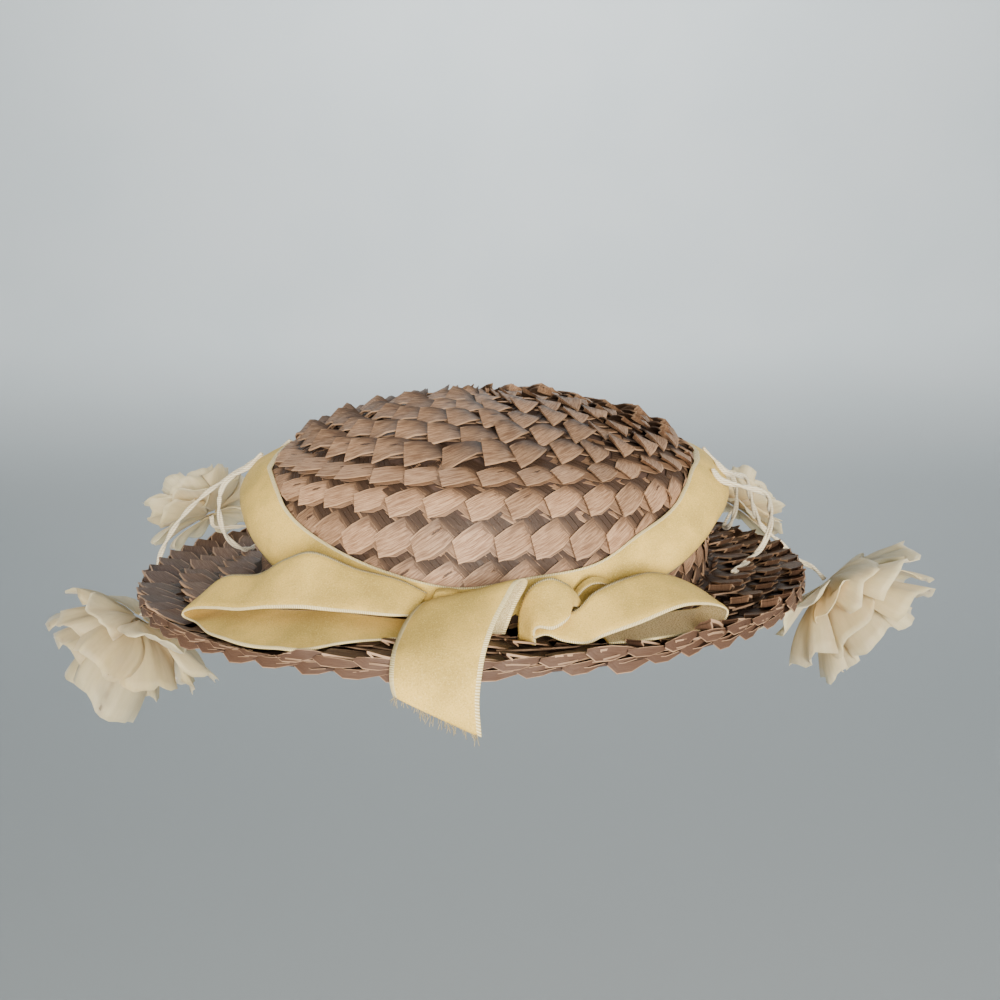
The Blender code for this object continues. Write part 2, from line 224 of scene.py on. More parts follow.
def new_group(name, inputs, outputs):
    """An empty node group with named sockets. Each is (name, kind, value)."""
    group = bpy.data.node_groups.new(name, "ShaderNodeTree")
    for key, kind, value in inputs:
        socket = group.interface.new_socket(key, in_out="INPUT", socket_type=kind)
        if value is not None:
            socket.default_value = value
    for key, kind in outputs:
        group.interface.new_socket(key, in_out="OUTPUT", socket_type=kind)
    return group, group.nodes.new("NodeGroupInput").outputs, group.nodes.new("NodeGroupOutput").inputs


def use_group(tree, group, **inputs):
    """A node group placed in a material, with its values."""
    return add_node(tree, "ShaderNodeGroup", {"node_tree": group}, **inputs).outputs


def new_material(name, **constants):
    """A material with one Principled BSDF whose plain values are set on its own sockets."""
    made = bpy.data.materials.new(name)
    made.use_nodes = True
    shader = made.node_tree.nodes["Principled BSDF"]
    for key, value in constants.items():
        shader.inputs[key.replace("_", " ")].default_value = value
    return made, made.node_tree, shader


def wire(tree, shader, **outputs):
    """Links nodes' outputs to the shader's inputs of those names."""
    for key, value in outputs.items():
        tree.links.new(value, shader.inputs[key.replace("_", " ")])


FLOAT, VECTOR = "NodeSocketFloat", "NodeSocketVector"

# %% [markdown]
# ## The studio
#
# A hat that is held in the air needs only an even backdrop. A shallow bowl, pale and wide, gives floor and
# wall in one curved surface with no corner, from wherever the hat is seen. A disc is extruded outwards ring
# by ring, each ring scaled and lifted.

# %% Floor and wall in one bowl
FLOOR = -0.34
HUB = 0.3
BOWL_RINGS = [(1.0, 0.0), (1.8, 0.0), (2.3, 0.1), (2.75, 0.35), (3.05, 0.8), (3.2, 1.4), (3.2, 3.5)]
WALL_COLOUR = (0.74, 0.78, 0.79, 1)
WALL_SHADE = (0.70, 0.75, 0.765, 1)
# The floor is much darker than the wall: painted shade for the dim space below the hat.
FLOOR_PAINTED_SHADE = (0.34, 0.365, 0.375, 1)
WALL_FOOT, WALL_FULL = -0.3, 0.3

bpy.ops.object.select_all(action="DESELECT")
bpy.ops.mesh.primitive_circle_add(vertices=96, radius=HUB, fill_type="NGON", location=(0, 0, FLOOR))
bowl = bpy.context.object
bowl.name = "studio_bowl"
bpy.ops.object.mode_set(mode="EDIT")
bpy.ops.mesh.select_all(action="SELECT")
for (radius, height), (before, below) in zip(BOWL_RINGS, [(HUB, 0.0), *BOWL_RINGS]):
    bpy.ops.mesh.extrude_region_move(TRANSFORM_OT_translate={"value": (0, 0, height - below)})
    bpy.ops.transform.resize(value=(radius / before, radius / before, 1))
bpy.ops.mesh.delete(type="ONLY_FACE")
bpy.ops.mesh.select_all(action="SELECT")
bpy.ops.mesh.normals_make_consistent(inside=True)
bpy.ops.object.mode_set(mode="OBJECT")
bpy.ops.object.shade_smooth()
bpy.ops.object.transform_apply(location=True, rotation=True, scale=True)
wall_paint, tree, shader = new_material("wall_paint", Roughness=0.9)
place = object_place(tree)
mottle = noise_at(tree, place, 1.6, 3)
painted = blend(tree, soft_step(tree, mottle, 0.35, 0.65), WALL_COLOUR, WALL_SHADE)
# The bowl grows darker towards its floor: painted shade.
height = in_parts(tree, place)[2]
wire(tree, shader, Base_Color=blend(tree, soft_step(tree, height, WALL_FOOT, WALL_FULL), FLOOR_PAINTED_SHADE, painted))
bowl.data.materials.append(wall_paint)
print("studio", len(bowl.data.polygons), "faces")

# %% [markdown]
# The light is plain and soft: a main panel in front, hardly above the hat, two weak ones from the side and
# the back, one for the wall, and an even pale sky. The main panel is low because the real hat's steep front
# is much lighter than its top. A large panel close to an object gives shadows with soft edges, as a window
# does.

# %% Light
ON_HAT = Vector((0, 0, 0.02))
ON_WALL = Vector((0, 3.2, 1.2))
LIGHTS = [
    ("key_panel", (0.24, -1.22, 0.16), 0.5, 38.0, (1.0, 0.955, 0.87), ON_HAT),
    ("side_panel", (1.2, -0.6, 0.6), 1.0, 3.0, (0.97, 0.985, 1.0), ON_HAT),
    ("back_panel", (-0.2, 1.1, 1.2), 1.2, 4.0, (0.97, 0.985, 1.0), ON_HAT),
    ("wall_panel", (0, 1.3, 2.2), 1.6, 68.0, (0.97, 0.99, 1.0), ON_WALL),
]
SKY = (0.80, 0.88, 0.92, 1)
SKY_STRENGTH = 0.30

for name, spot, side, watts, tint, aim in LIGHTS:
    panel = bpy.data.lights.new(name, "AREA")
    panel.size = side
    panel.energy = watts
    panel.color = tint
    lamp = bpy.data.objects.new(name, panel)
    bpy.context.scene.collection.objects.link(lamp)
    facing = (aim - Vector(spot)).to_track_quat("-Z", "Y")
    lamp.matrix_world = Matrix.Translation(spot) @ facing.to_matrix().to_4x4()
sky = bpy.data.worlds.new("sky")
sky.use_nodes = True
sky.node_tree.nodes["Background"].inputs["Color"].default_value = SKY
sky.node_tree.nodes["Background"].inputs["Strength"].default_value = SKY_STRENGTH
bpy.context.scene.world = sky
print(len(LIGHTS), "light panels")

# %% [markdown]
# ## Straw: the finish
#
# The braid is woven from flat dyed straw. Each strip has fine fibres along it, a paler edge, and a dark slit
# where the sewing thread pulls it in; the paler edge is partly wear and partly a painted highlight on the
# fold. All of these follow the strip, so they read the strip's own UV map: U runs along the strip in
# centimetres and V across it from 0 to 1. Every strip also has its own tone, kept as a point attribute, and
# a second attribute tells how much painted shade each point gets under the row above or the next strip.
# The straw low down on the brim is darkened too, most at the rim, as painted shade.

# %% Fibre group
fibre, given, result = new_group(
    "fibre_grain",
    [("Vector", VECTOR, None), ("Seed", FLOAT, 0.0), ("Along", FLOAT, 3.0), ("Across", FLOAT, 40.0)],
    [("Grain", FLOAT), ("Speckle", FLOAT)],
)
scale = add_node(fibre, "ShaderNodeCombineXYZ", _0=given["Along"], _1=given["Across"], _2=1.0).outputs[0]
multiply = {"operation": "MULTIPLY"}
stretched = add_node(fibre, "ShaderNodeVectorMath", multiply, _0=given["Vector"], _1=scale).outputs[0]
shift = calc(fibre, "MULTIPLY", given["Seed"], 37.0)
in_4d = {"noise_dimensions": "4D"}
grain = add_node(fibre, "ShaderNodeTexNoise", in_4d, Vector=stretched, W=shift, Scale=1, Detail=4, Roughness=0.6)
speckle = add_node(fibre, "ShaderNodeTexNoise", in_4d, Vector=given["Vector"], W=shift, Scale=22.0, Detail=3)
fibre.links.new(grain.outputs["Fac"], result["Grain"])
fibre.links.new(speckle.outputs["Fac"], result["Speckle"])

# %% Straw material
STRAW_DARK = (0.145, 0.068, 0.034, 1)
STRAW_MID = (0.335, 0.182, 0.098, 1)
STRAW_PALE = (0.63, 0.395, 0.235, 1)
STRAW_SLIT = (0.045, 0.022, 0.014, 1)
STRAW_BRIM_SHADE = (0.062, 0.029, 0.017, 1)
STRAW_PAINTED_SHADE = (0.030, 0.015, 0.009, 1)
SLIT_PLACE = (0.86, 0.62)
SLIT_HALF = (0.12, 0.045)
SLIT_SCATTER = 0.5
SLIT_RAGGED = 4.5
WEAR_AND_HIGHLIGHT_FROM, WEAR_AND_HIGHLIGHT_MOST = 0.42, 0.55
# Where and how strongly the straw low down on the brim is darkened as painted shade, most at the rim
BRIM_SHADE_LOW, BRIM_SHADE_HIGH, BRIM_SHADE_MOST = 0.006, 0.018, 0.72
BRIM_SHADE_INNER, BRIM_SHADE_OUTER, BRIM_SHADE_AT_RIM = 0.114, 0.124, 1.25
PAINTED_SHADE_MOST = 0.94


def straw_material(name, dim):
    """Dyed straw. dim is 1 outside, and less for a darker copy with painted shade, used inside the crown and
    under the brim.
    """
    made, tree, shader = new_material(name, Roughness=0.58, Specular_IOR_Level=0.35)
    uv = own_uv(tree)
    split = in_parts(tree, uv)
    tone = point_value(tree, "tone")
    seed = calc(tree, "FRACT", calc(tree, "MULTIPLY", tone, 91.7))
    texture = use_group(tree, fibre, Vector=uv, Seed=tone, Along=3.2, Across=26.0)
    colour = blend(tree, soft_step(tree, texture["Grain"], 0.36, 0.64), STRAW_DARK, STRAW_PALE)
    colour = blend(tree, soft_step(tree, texture["Speckle"], 0.25, 0.75, 0.25, 0.65), colour, STRAW_MID)
    shade = soft_step(tree, tone, 0.0, 1.0, 0.74 * dim, 1.16 * dim)
    tint = add_node(tree, "ShaderNodeCombineColor", _0=shade, _1=shade, _2=shade).outputs[0]
    colour = blend(tree, 1.0, colour, tint, "MULTIPLY")
    # The strip's edges are made paler: partly wear, partly a painted highlight where the fold catches the light.
    from_middle = calc(tree, "ABSOLUTE", calc(tree, "SUBTRACT", split[1], 0.5))
    wear_and_highlight = calc(tree, "MULTIPLY", soft_step(tree, from_middle, WEAR_AND_HIGHLIGHT_FROM, 0.5), WEAR_AND_HIGHLIGHT_MOST * dim)
    place = object_place(tree)
    level = add_node(tree, "ShaderNodeVectorMath", multiply, _0=place, _1=(1, 1, 0)).outputs[0]
    from_axis = add_node(tree, "ShaderNodeVectorMath", {"operation": "LENGTH"}, _0=level).outputs["Value"]
    height = in_parts(tree, place)[2]
    # The straw low down on the brim is darkened, most towards the rim: painted shade.
    low_down = soft_step(tree, height, BRIM_SHADE_LOW, BRIM_SHADE_HIGH, BRIM_SHADE_MOST, 0.0)
    at_rim = soft_step(tree, from_axis, BRIM_SHADE_INNER, BRIM_SHADE_OUTER, 1.0, BRIM_SHADE_AT_RIM)
    on_brim = calc(tree, "MULTIPLY", low_down, at_rim)
    colour = blend(tree, on_brim, colour, STRAW_BRIM_SHADE)
    colour = blend(tree, wear_and_highlight, colour, STRAW_PALE)
    # Points under the row above or under the next strip are darkened towards near black: painted shade.
    painted_shade = point_value(tree, "painted_shade")
    colour = blend(tree, calc(tree, "MULTIPLY", painted_shade, PAINTED_SHADE_MOST), colour, STRAW_PAINTED_SHADE)
    moved = calc(tree, "ADD", split[0], calc(tree, "MULTIPLY", calc(tree, "SUBTRACT", seed, 0.5), SLIT_SCATTER))
    slit_u = calc(tree, "DIVIDE", calc(tree, "SUBTRACT", moved, SLIT_PLACE[0]), SLIT_HALF[0])
    slit_v = calc(tree, "DIVIDE", calc(tree, "SUBTRACT", split[1], SLIT_PLACE[1]), SLIT_HALF[1])
    reach = calc(tree, "ADD", calc(tree, "MULTIPLY", slit_u, slit_u), calc(tree, "MULTIPLY", slit_v, slit_v))
    ragged = calc(tree, "MULTIPLY", calc(tree, "SUBTRACT", texture["Speckle"], 0.5), SLIT_RAGGED)
    reach = calc(tree, "ADD", reach, ragged)
    cut = soft_step(tree, calc(tree, "FRACT", calc(tree, "MULTIPLY", tone, 57.3)), 0.1, 0.5)
    slit = calc(tree, "MULTIPLY", soft_step(tree, reach, 0.4, 1.3, 0.9, 0.0), cut)
    colour = blend(tree, slit, colour, STRAW_SLIT)
    relief = calc(tree, "SUBTRACT", texture["Grain"], calc(tree, "MULTIPLY", slit, 2.0))
    bump = bumped(tree, 0.55, 0.00025, relief)
    rough = soft_step(tree, texture["Grain"], 0.2, 0.8, 0.66, 0.48)
    wire(tree, shader, Base_Color=colour, Normal=bump, Roughness=rough)
    return made


straw = straw_material("straw", 1.0)
# The inside of the crown and the underside of the brim get a darker copy of the straw: painted shade.
shaded_straw = straw_material("shaded_straw", 0.78)
print("straw finishes made")

# %% [markdown]
# ## Straw: the path of the braid
#
# A spiral of plait is easiest to think of as a turn count: at turn 3.25 the braid has gone round three
# times and a quarter. A table gives the radius and height of the braid's lower lip at whole turns, which
# lie towards the bow. From it come two curves: the hat's profile by its length, and where on that profile
# the lip lies at each turn. The crown's top has settled a little towards the bow, and the brim is a little
# wider on its left, as on the solid parts.

# %% The profile and the turns
ROW_STEP = 1.3
CROWN_LIPS = [
    (-1, 0.5, 69.9), (0, 14, 69.4), (1, 27, 68.4), (2, 39.5, 66), (3, 51.5, 62.6), (4, 63, 58.4),
    (5, 74, 53.6), (6, 83, 46.8), (7, 86.5, 35), (8, 87.5, 22.6), (9, 88, 10.4), (10, 88, 2.9),
]
CROWN_FOOT = 88
BRIM_LIPS = [(10.5, 97.5), (11.5, 111), (12.5, 120.5), (12.6, 127)]
RIM = 127
RIM_HEIGHT = 3.7
BRAID_END = 13.58
BRIM_SHIFT = -4.5
LEAN, LEAN_FROM, LEAN_FULL = 0.06, 36, 54


def through(points, steps):
    """A smooth curve through the points, with that many steps between two of them."""
    points = np.asarray(points, dtype=float)
    ends = np.vstack([2 * points[0] - points[1], points, 2 * points[-1] - points[-2]])
    t = (np.arange(steps) / steps)[:, None]
    line = []
    for a, b, c, d in zip(ends, ends[1:], ends[2:], ends[3:]):
        bend, turn = 2 * a - 5 * b + 4 * c - d, 3 * b - a - 3 * c + d
        line.append(0.5 * (2 * b + (c - a) * t + bend * t**2 + turn * t**3))
    return np.vstack([*line, points[-1:]])


def travelled(line):
    """The length along a line of points up to each of them."""
    return np.concatenate([[0], np.cumsum(np.linalg.norm(np.diff(line, axis=0), axis=1))])


LIP_STEPS = 12
crown_line = through([(r, z) for _, r, z in CROWN_LIPS], LIP_STEPS)
profile = np.vstack([crown_line, [(r, RIM_HEIGHT) for r in np.arange(91.0, RIM + 3.0, 3.0)]])
profile_length = travelled(profile)
foot_length = profile_length[len(crown_line) - 1]
slope = np.gradient(profile, profile_length, axis=0)
outward = np.stack([-slope[:, 1], slope[:, 0]], axis=1)
outward /= np.linalg.norm(outward, axis=1)[:, None]
lip_turns = [turn for turn, _, _ in CROWN_LIPS] + [turn for turn, _ in BRIM_LIPS]
lip_lengths = list(profile_length[: len(crown_line) : LIP_STEPS])
lip_lengths += [foot_length + radius - CROWN_FOOT for _, radius in BRIM_LIPS]
print("profile", round(profile_length[-1]), "mm from the tip of the crown to the rim")


# %% Points on the hat
def settled(points):
    """Points of the crown, once its top has settled towards the bow."""
    share = np.clip((points[:, 2] - LEAN_FROM) / (LEAN_FULL - LEAN_FROM), 0, 1)
    lowered = points.copy()
    lowered[:, 2] += LEAN * share * share * (3 - 2 * share) * points[:, 1]
    return lowered


def on_profile(turn, length, off):
    """Points on the hat at a turn and a length down its profile, that far off the surface, in mm."""
    length = np.clip(length, 0.3, profile_length[-1])
    radius, height, out, up = (np.interp(length, profile_length, column) for column in (*profile.T, *outward.T))
    radius = np.maximum(radius + out * off, 0.2)
    height = height + up * off
    angle = 2 * math.pi * turn
    shift = BRIM_SHIFT * np.clip((radius - CROWN_FOOT) / (RIM - CROWN_FOOT), 0, 1.1) * (height < 12)
    return settled(np.stack([radius * np.sin(angle) + shift, -radius * np.cos(angle), height], axis=1))


def lip_length(turn):
    """The length down the profile at which the braid's lip lies at a turn."""
    return np.interp(turn, lip_turns, lip_lengths)


# %% [markdown]
# ## Straw: one stitch of the plait
#
# Seen close, the braid is a row of slanting flat strips. Each one folds up over the strip before it, runs
# up to the right and goes under the next. Below it shows the edge of a second strip, and above it a few
# narrow ones cross the other way. One such stitch is modelled once, flat, in millimetres: U to the right
# along the row, V up to the row above, and N off the surface. It has few faces, because it comes back more
# than five hundred times. At the top of the crown a looser stitch takes its place, along the rim lie thin
# leaves, and the inside has one plain strip.

# %% Strips of one stitch
STRIP_THICK, THIN_STRIP, LEAF_THICK = 0.36, 0.3, 0.45
# How much painted shade the strips get under the row above and under the next strip, and the least that each
# strip of a stitch gets. The base strip under the flap is painted nearly black.
SHADE_UNDER_ROW = {"stitch": (8.0, 4.5), "loose": (5.5, 4.5)}
SHADE_UNDER_NEXT, SHADE_UNDER_NEXT_MOST = (7.5, 5.0), 0.6
SHADE_LEAST = {"stitch": [0.0, 0.38, 0.9, 0.34], "loose": [0.28, 0.5, 0.95, 0.75]}
PITCH_HALF = 5.9


def closed_strip(low, high, off, across, uv_along, thick=STRIP_THICK, high_off=None, back=(0, 0, 1)):
    """A thick strip between two edges. off is the height off the surface at each station of the low one."""
    low, high, off = (np.asarray(row, float) for row in (low, high, off))
    high_off = off if high_off is None else np.asarray(high_off, float)
    share = np.linspace(0, 1, across + 1)
    flat = low[:, None, :] * (1 - share)[None, :, None] + high[:, None, :] * share[None, :, None]
    raised = off[:, None] * (1 - share) + high_off[:, None] * share
    top = np.dstack([flat, raised]).reshape(-1, 3)
    under = top - thick * np.asarray(back)
    uv = grid_uv(np.linspace(*uv_along, len(low)), share)
    return np.vstack([top, under]), skin_faces(len(low), across + 1), np.vstack([uv, uv])


def painted_shade_under(points, least, row):
    """How much painted shade each point of a strip gets under the row above or the next strip."""
    under_row = np.clip((points[:, 1] - row[0]) / row[1], 0, 1)
    under_next = np.clip((points[:, 0] - SHADE_UNDER_NEXT[0]) / SHADE_UNDER_NEXT[1], 0, 1)
    return np.clip(least + under_row + SHADE_UNDER_NEXT_MOST * under_next, 0, 1)


# %% The stitch
FLAP_TOP = [(-1.0, 7.2), (-2.4, 6.2), (0.8, 8.9), (4.4, 11.2), (7.8, 12.9), (10.2, 14.6), (12.4, 16.6)]
TONGUE_OFF = [0.05, 0.1, 0.15, 0.1, -0.2, -0.6]
ACROSS_BRAID = np.array([0.76, 0.65])
CROSS_LINE = np.array([(5.6, 15.2), (9.2, 11.0), (12.9, 6.7)])
CROSS_COUNT, CROSS_WIDTH, CROSS_PITCH = 4, 1.6, 1.85

flap = closed_strip(
    [(1.0, 0.8), (-0.6, -0.6), (3.5, 0.7), (7.8, 3.3), (10.4, 5.7), (12.6, 8.2), (14.6, 11)],
    FLAP_TOP, [0.9, 1.75, 1.35, 0.8, 0.25, -0.3, -0.9], 3, (-0.1, 1.6),
)
loose_flap = closed_strip(
    [(1.2, 0.4), (-0.4, -1.6), (2.8, -0.6), (6.4, 1.0), (9.6, 3.8), (12.4, 7.6), (14.6, 11)],
    FLAP_TOP, [0.3, 0.0, 0.6, 1.4, 1.2, 0.1, -0.9], 3, (-0.1, 1.6),
    high_off=[2.2, 3.3, 3.1, 2.4, 1.3, 0.1, -0.9],
)
tongue = closed_strip(
    [(-4.9, 3.3), (-2.4, 1.1), (0.4, -0.4), (4.0, -0.1), (8.5, 2.6), (11.2, 5.2)],
    [(-3.2, 7.2), (-0.6, 5.0), (2.0, 3.6), (5.2, 4.4), (9.4, 7.0), (11.6, 8.6)],
    TONGUE_OFF, 1, (3.0, 4.6), THIN_STRIP,
)
short_tongue = closed_strip(
    [(-3.4, 5.2), (-1.4, 3.4), (1.4, 2.6), (4.6, 3.4), (8.5, 5.2), (11.2, 7.2)],
    [(-2.2, 8.2), (0.2, 6.6), (2.6, 5.6), (5.6, 6.4), (9.4, 8.4), (11.6, 10)],
    TONGUE_OFF, 1, (3.0, 4.6), THIN_STRIP,
)
base = closed_strip(
    [(-5.6, 10.6), (-1.8, 6.4), (2.8, 2.8)], [(5.6, 18.4), (9.4, 14.2), (12.6, 8.4)],
    [-0.15, -0.1, -0.3], 1, (9.0, 10.4), THIN_STRIP,
)
cross = []
for number in range(CROSS_COUNT):
    low = CROSS_LINE + ACROSS_BRAID * CROSS_PITCH * (number - 2)
    high = low + ACROSS_BRAID * CROSS_WIDTH
    cross.append(closed_strip(low, high, [0.5, 0.55, 0.2], 1, (6.0 + number, 7.2 + number), THIN_STRIP))
STITCH_PARTS = {"stitch": [flap, tongue, base, *cross], "loose": [loose_flap, short_tongue, base, *cross]}
stitches = {}
for key, parts in STITCH_PARTS.items():
    least = SHADE_LEAST[key] + SHADE_LEAST[key][-1:] * (CROSS_COUNT - 1)
    shade = [painted_shade_under(part[0], low, SHADE_UNDER_ROW[key]) for part, low in zip(parts, least)]
    stitches[key] = (*joined(parts), np.hstack(shade))
print("one stitch has", len(stitches["stitch"][1]), "faces")

# %% The rim's leaves and the inside's strip
LEAF = np.array([(-1.6, -0.2), (1.0, -0.9), (5.2, -0.5), (9.4, 0.6), (13.0, 1.6)])
LEAF_TOP = np.array([(-1.0, 0.9), (1.8, 0.2), (5.6, 0.3), (9.6, 1.2), (13.2, 2.0)])
LEAF_OFF = [([0.2, -0.9, -0.7, 0.0, 0.6], [0.9, 1.2, 1.4, 1.3, 0.9])]
LEAF_OFF += [([-1.3, -2.5, -2.3, -1.5, -0.9], [-0.5, -0.5, -0.3, -0.1, 0.0])]
LEAF_STEP = np.array([PITCH_HALF, 0.5])
NO_PAINTED_SHADE = 0.0

leaves = []
for number, (off, high_off) in enumerate(LEAF_OFF):
    low, high = LEAF + number * LEAF_STEP, LEAF_TOP + number * LEAF_STEP
    leaves.append(closed_strip(low, high, off, 1, (3.0, 4.4), LEAF_THICK, high_off, back=(0, -1, 0)))
rim_leaf = (*joined(leaves), NO_PAINTED_SHADE)
inner_stitch = closed_strip(
    [(0, 0), (4.2, 0.7), (10.4, 5.7), (14.2, 10.5)], [(-3.0, 6.4), (1.6, 9.6), (7.8, 12.9), (11.8, 15.8)],
    [1.1, 0.95, 0.2, -0.6], 1, (3.0, 4.6),
)
inner_stitch = (*inner_stitch, NO_PAINTED_SHADE)
print("one pair of leaves has", len(rim_leaf[1]), "faces")

# %% [markdown]
# ## Straw: sewing the rows
#
# The stitch is now laid along the spiral. Every point's U becomes a part of a turn, its V a length up the
# profile and its N a distance off the surface, so the strips bend with the hat. The rows overlap like roof
# tiles: a strip lies on the surface at its lip and a step below it under the row above. Plaiting is never
# even, so each stitch is moved, turned, lifted and toned a little by a seeded draw. On the top of the crown
# the tips stand up most. Where the band or the bow lies over the straw, the strips are pressed down under
# it.

# %% Laying stitches along the braid
PITCH = 2 * PITCH_HALF
ROW_WIDE = 12.5
LIFT_TURNS = [-1, 2, 5.6, 6.6, 7.6, 8.6, 10, 10.4, 12, 13.6]
LIFT = [0.3, 0.6, 0.8, 0.9, 0.45, 0.15, 0.1, 0.8, 1.0, 1.4]
TIP_REACH = 9.0
INNER_DEPTH = 2.5
LOOSE_END = 5.7
LOOSE_EASE = 1.7
CROWN_END = 10
LEAST_RADIUS = 5.0
FULL_RADIUS, LEAST_SIZE = 26, 0.42
LEAST_TALL, MOST_TALL = 0.8, 1.3
# How far a stitch's tilt, lift, push along the row, drop and twist are scattered, and its tone
SCATTER = (0.05, 0.32, 0.35, 0.32, 0.05)
TONE_SCATTER = 0.22
# The band's upper edge at a few azimuths, its lower edge and how far it stands off the crown, in mm
BAND_EDGES = [
    (-180, 52, 31, 5), (-90, 52, 32, 6), (-70, 50.5, 28.5, 6.5), (-58, 46.5, 22, 6.2), (-50, 41, 17, 5),
    (-40, 32, 11.5, 3.2), (-28, 25, 8, 1.8), (-14, 18.5, 5.6, 0.8), (0, 14.5, 4.9, 0.5), (13, 17, 5.2, 0.5),
    (27, 19.5, 6.4, 1), (38, 27, 10, 3), (48, 32.5, 14.5, 4.8), (57, 40, 20, 6.2), (66, 46.5, 25, 7),
    (90, 49.5, 28, 6.5), (180, 52, 31, 5),
]
# How far from the axis the bow reaches over the brim at a few azimuths, in mm
BOW_REACH = [
    (-180, 85), (-52, 85), (-46, 116), (-41, 125), (-20, 127.5), (-16, 125.5), (-12, 117), (-6, 108), (10, 108),
    (13, 112), (18, 117.5), (35, 120.5), (42, 119.5), (46, 85), (180, 85),
]
UNDER_BAND, UNDER_BOW = 0.6, 0.7
STRAW_FREE, FREE_MOST = 1.1, 20
BRIM_BELOW = 5


def band_at(azimuth, column):
    """A column of the band's table, read straight between its rows."""
    return np.interp(azimuth, [row[0] for row in BAND_EDGES], [row[column] for row in BAND_EDGES])


def held_down(turn, length, off):
    """Distances off the surface, kept low where the band or the bow lies over the straw."""
    azimuth = ((turn + 0.5) % 1 - 0.5) * 360
    radius, height = (np.interp(length, profile_length, column) for column in profile.T)
    above = np.clip(height - band_at(azimuth, 1) - 0.5, 0, FREE_MOST)
    beyond = np.clip(radius - np.interp(azimuth, *zip(*BOW_REACH)), 0, FREE_MOST)
    on_crown = height > BRIM_BELOW
    return np.minimum(off, np.where(on_crown, UNDER_BAND + STRAW_FREE * above, UNDER_BOW + STRAW_FREE * beyond))


def lay(name, finish, templates, start, seed, inside=False):
    """A mesh of stitches along the braid. Each template is used up to its own turn."""
    draw = np.random.default_rng(seed)
    spots, all_faces, all_uvs, tones, shade_values = [], [], [], [], []
    turn = start
    count = placed = 0
    while turn < templates[-1][0]:
        points, faces, uvs, painted_shade = next(template for until, template in templates if turn < until)
        lip = float(lip_length(turn))
        radius = float(np.interp(lip, profile_length, profile[:, 0]))
        round_at = 2 * math.pi * max(radius, LEAST_RADIUS)
        small = min(1.0, max(LEAST_SIZE, radius / FULL_RADIUS))
        width = lip - float(lip_length(turn - 1))
        tall = min(MOST_TALL, max(LEAST_TALL, width / ROW_WIDE)) * (0.55 + 0.45 * small)
        ease = LOOSE_EASE if turn < LOOSE_END else 1.0
        tilt, lift, push, drop, twist = draw.normal(0, SCATTER) * ease
        tone = float(np.clip(draw.normal(0.5, TONE_SCATTER), 0, 1))
        u, v, n = points.T
        u, v = u * small, v * tall
        u, v = u - tilt * v + push, v + tilt * u + drop
        n = n + twist * np.clip(u - 4, -6, 6)
        rise = np.interp(turn, LIFT_TURNS, LIFT) * max(0.15, 1 + lift)
        share = np.clip(1 - v / (TIP_REACH * tall), 0, 1.2)
        along = turn + u / round_at
        lips, before = lip_length(along), lip_length(along - 1)
        under = np.clip(v / np.maximum(lips - before, 4.0), -0.1, 1.35)
        if inside:
            spot = on_profile(along, before + v, -(INNER_DEPTH + 0.5 * n - under))
        else:
            off = n * (1 + 0.5 * rise) + 0.55 * rise * share**2 - ROW_STEP * under
            spot = on_profile(along, lips - v, held_down(along, lips - v, off))
        spots.append(spot)
        faces = np.array(faces)
        all_faces.append((faces[:, ::-1] if inside else faces) + placed)
        placed += len(points)
        all_uvs.append(uvs)
        tones.append(np.full(len(points), tone))
        shade_values.append(np.zeros(len(points)) + painted_shade)
        turn += PITCH * small / round_at
        count += 1
    values = {"tone": np.hstack(tones), "painted_shade": np.hstack(shade_values)}
    obj = mesh_object(name, np.vstack(spots), np.vstack(all_faces), np.vstack(all_uvs), [finish], **values)
    obj.data.set_sharp_from_angle(angle=math.radians(50))
    print(name, count, "stitches,", 2 * len(obj.data.polygons), "triangles")
    return obj


# %% The straw surfaces
BRAID_START = -0.82
RIM_START = 12.58
on_crown = [(LOOSE_END, stitches["loose"]), (CROWN_END, stitches["stitch"])]
on_brim = [(BRAID_END, stitches["stitch"])]
crown_out = lay("straw_crown", straw, on_crown, BRAID_START, 11)
brim_out = lay("straw_brim", straw, on_brim, CROWN_END, 12)
crown_in = lay("straw_crown_inside", shaded_straw, [(CROWN_END, inner_stitch)], BRAID_START, 13, inside=True)
brim_in = lay("straw_brim_underside", shaded_straw, [(BRAID_END, inner_stitch)], CROWN_END, 14, inside=True)
rim_edge = lay("straw_rim_leaves", straw, [(BRAID_END, rim_leaf)], RIM_START, 15)
belongs(crown_out, "straw", "crown")
belongs(brim_out, "straw", "brim")
belongs(rim_edge, "straw")
belongs(crown_in, "straw")
belongs(brim_in, "straw")

# %% [markdown]
# Between the outer and the inner faces of the braid lie its hidden layers. A thin dark shell fills that
# place, so no light comes through the gaps, and its near-black colour is painted shade for the hidden straw
# seen deep in the gaps. It is a line of points spun about the hat's axis, then settled as the stitches are.

# %% The dark core
CORE_DEPTH = 1.9
CORE_THICK = 0.5
CORE_STEPS = 96
CORE_SHADE_DARK, CORE_SHADE_FLECK = (0.035, 0.018, 0.012, 1), (0.10, 0.055, 0.038, 1)

# The core's near-black colour is painted shade for the hidden layers deep in the gaps.
core_painted_shade, tree, shader = new_material("straw_core", Roughness=0.8)
place = object_place(tree)
fleck = noise_at(tree, place, 700.0, 2)
wire(tree, shader, Base_Color=blend(tree, fleck, CORE_SHADE_DARK, CORE_SHADE_FLECK))

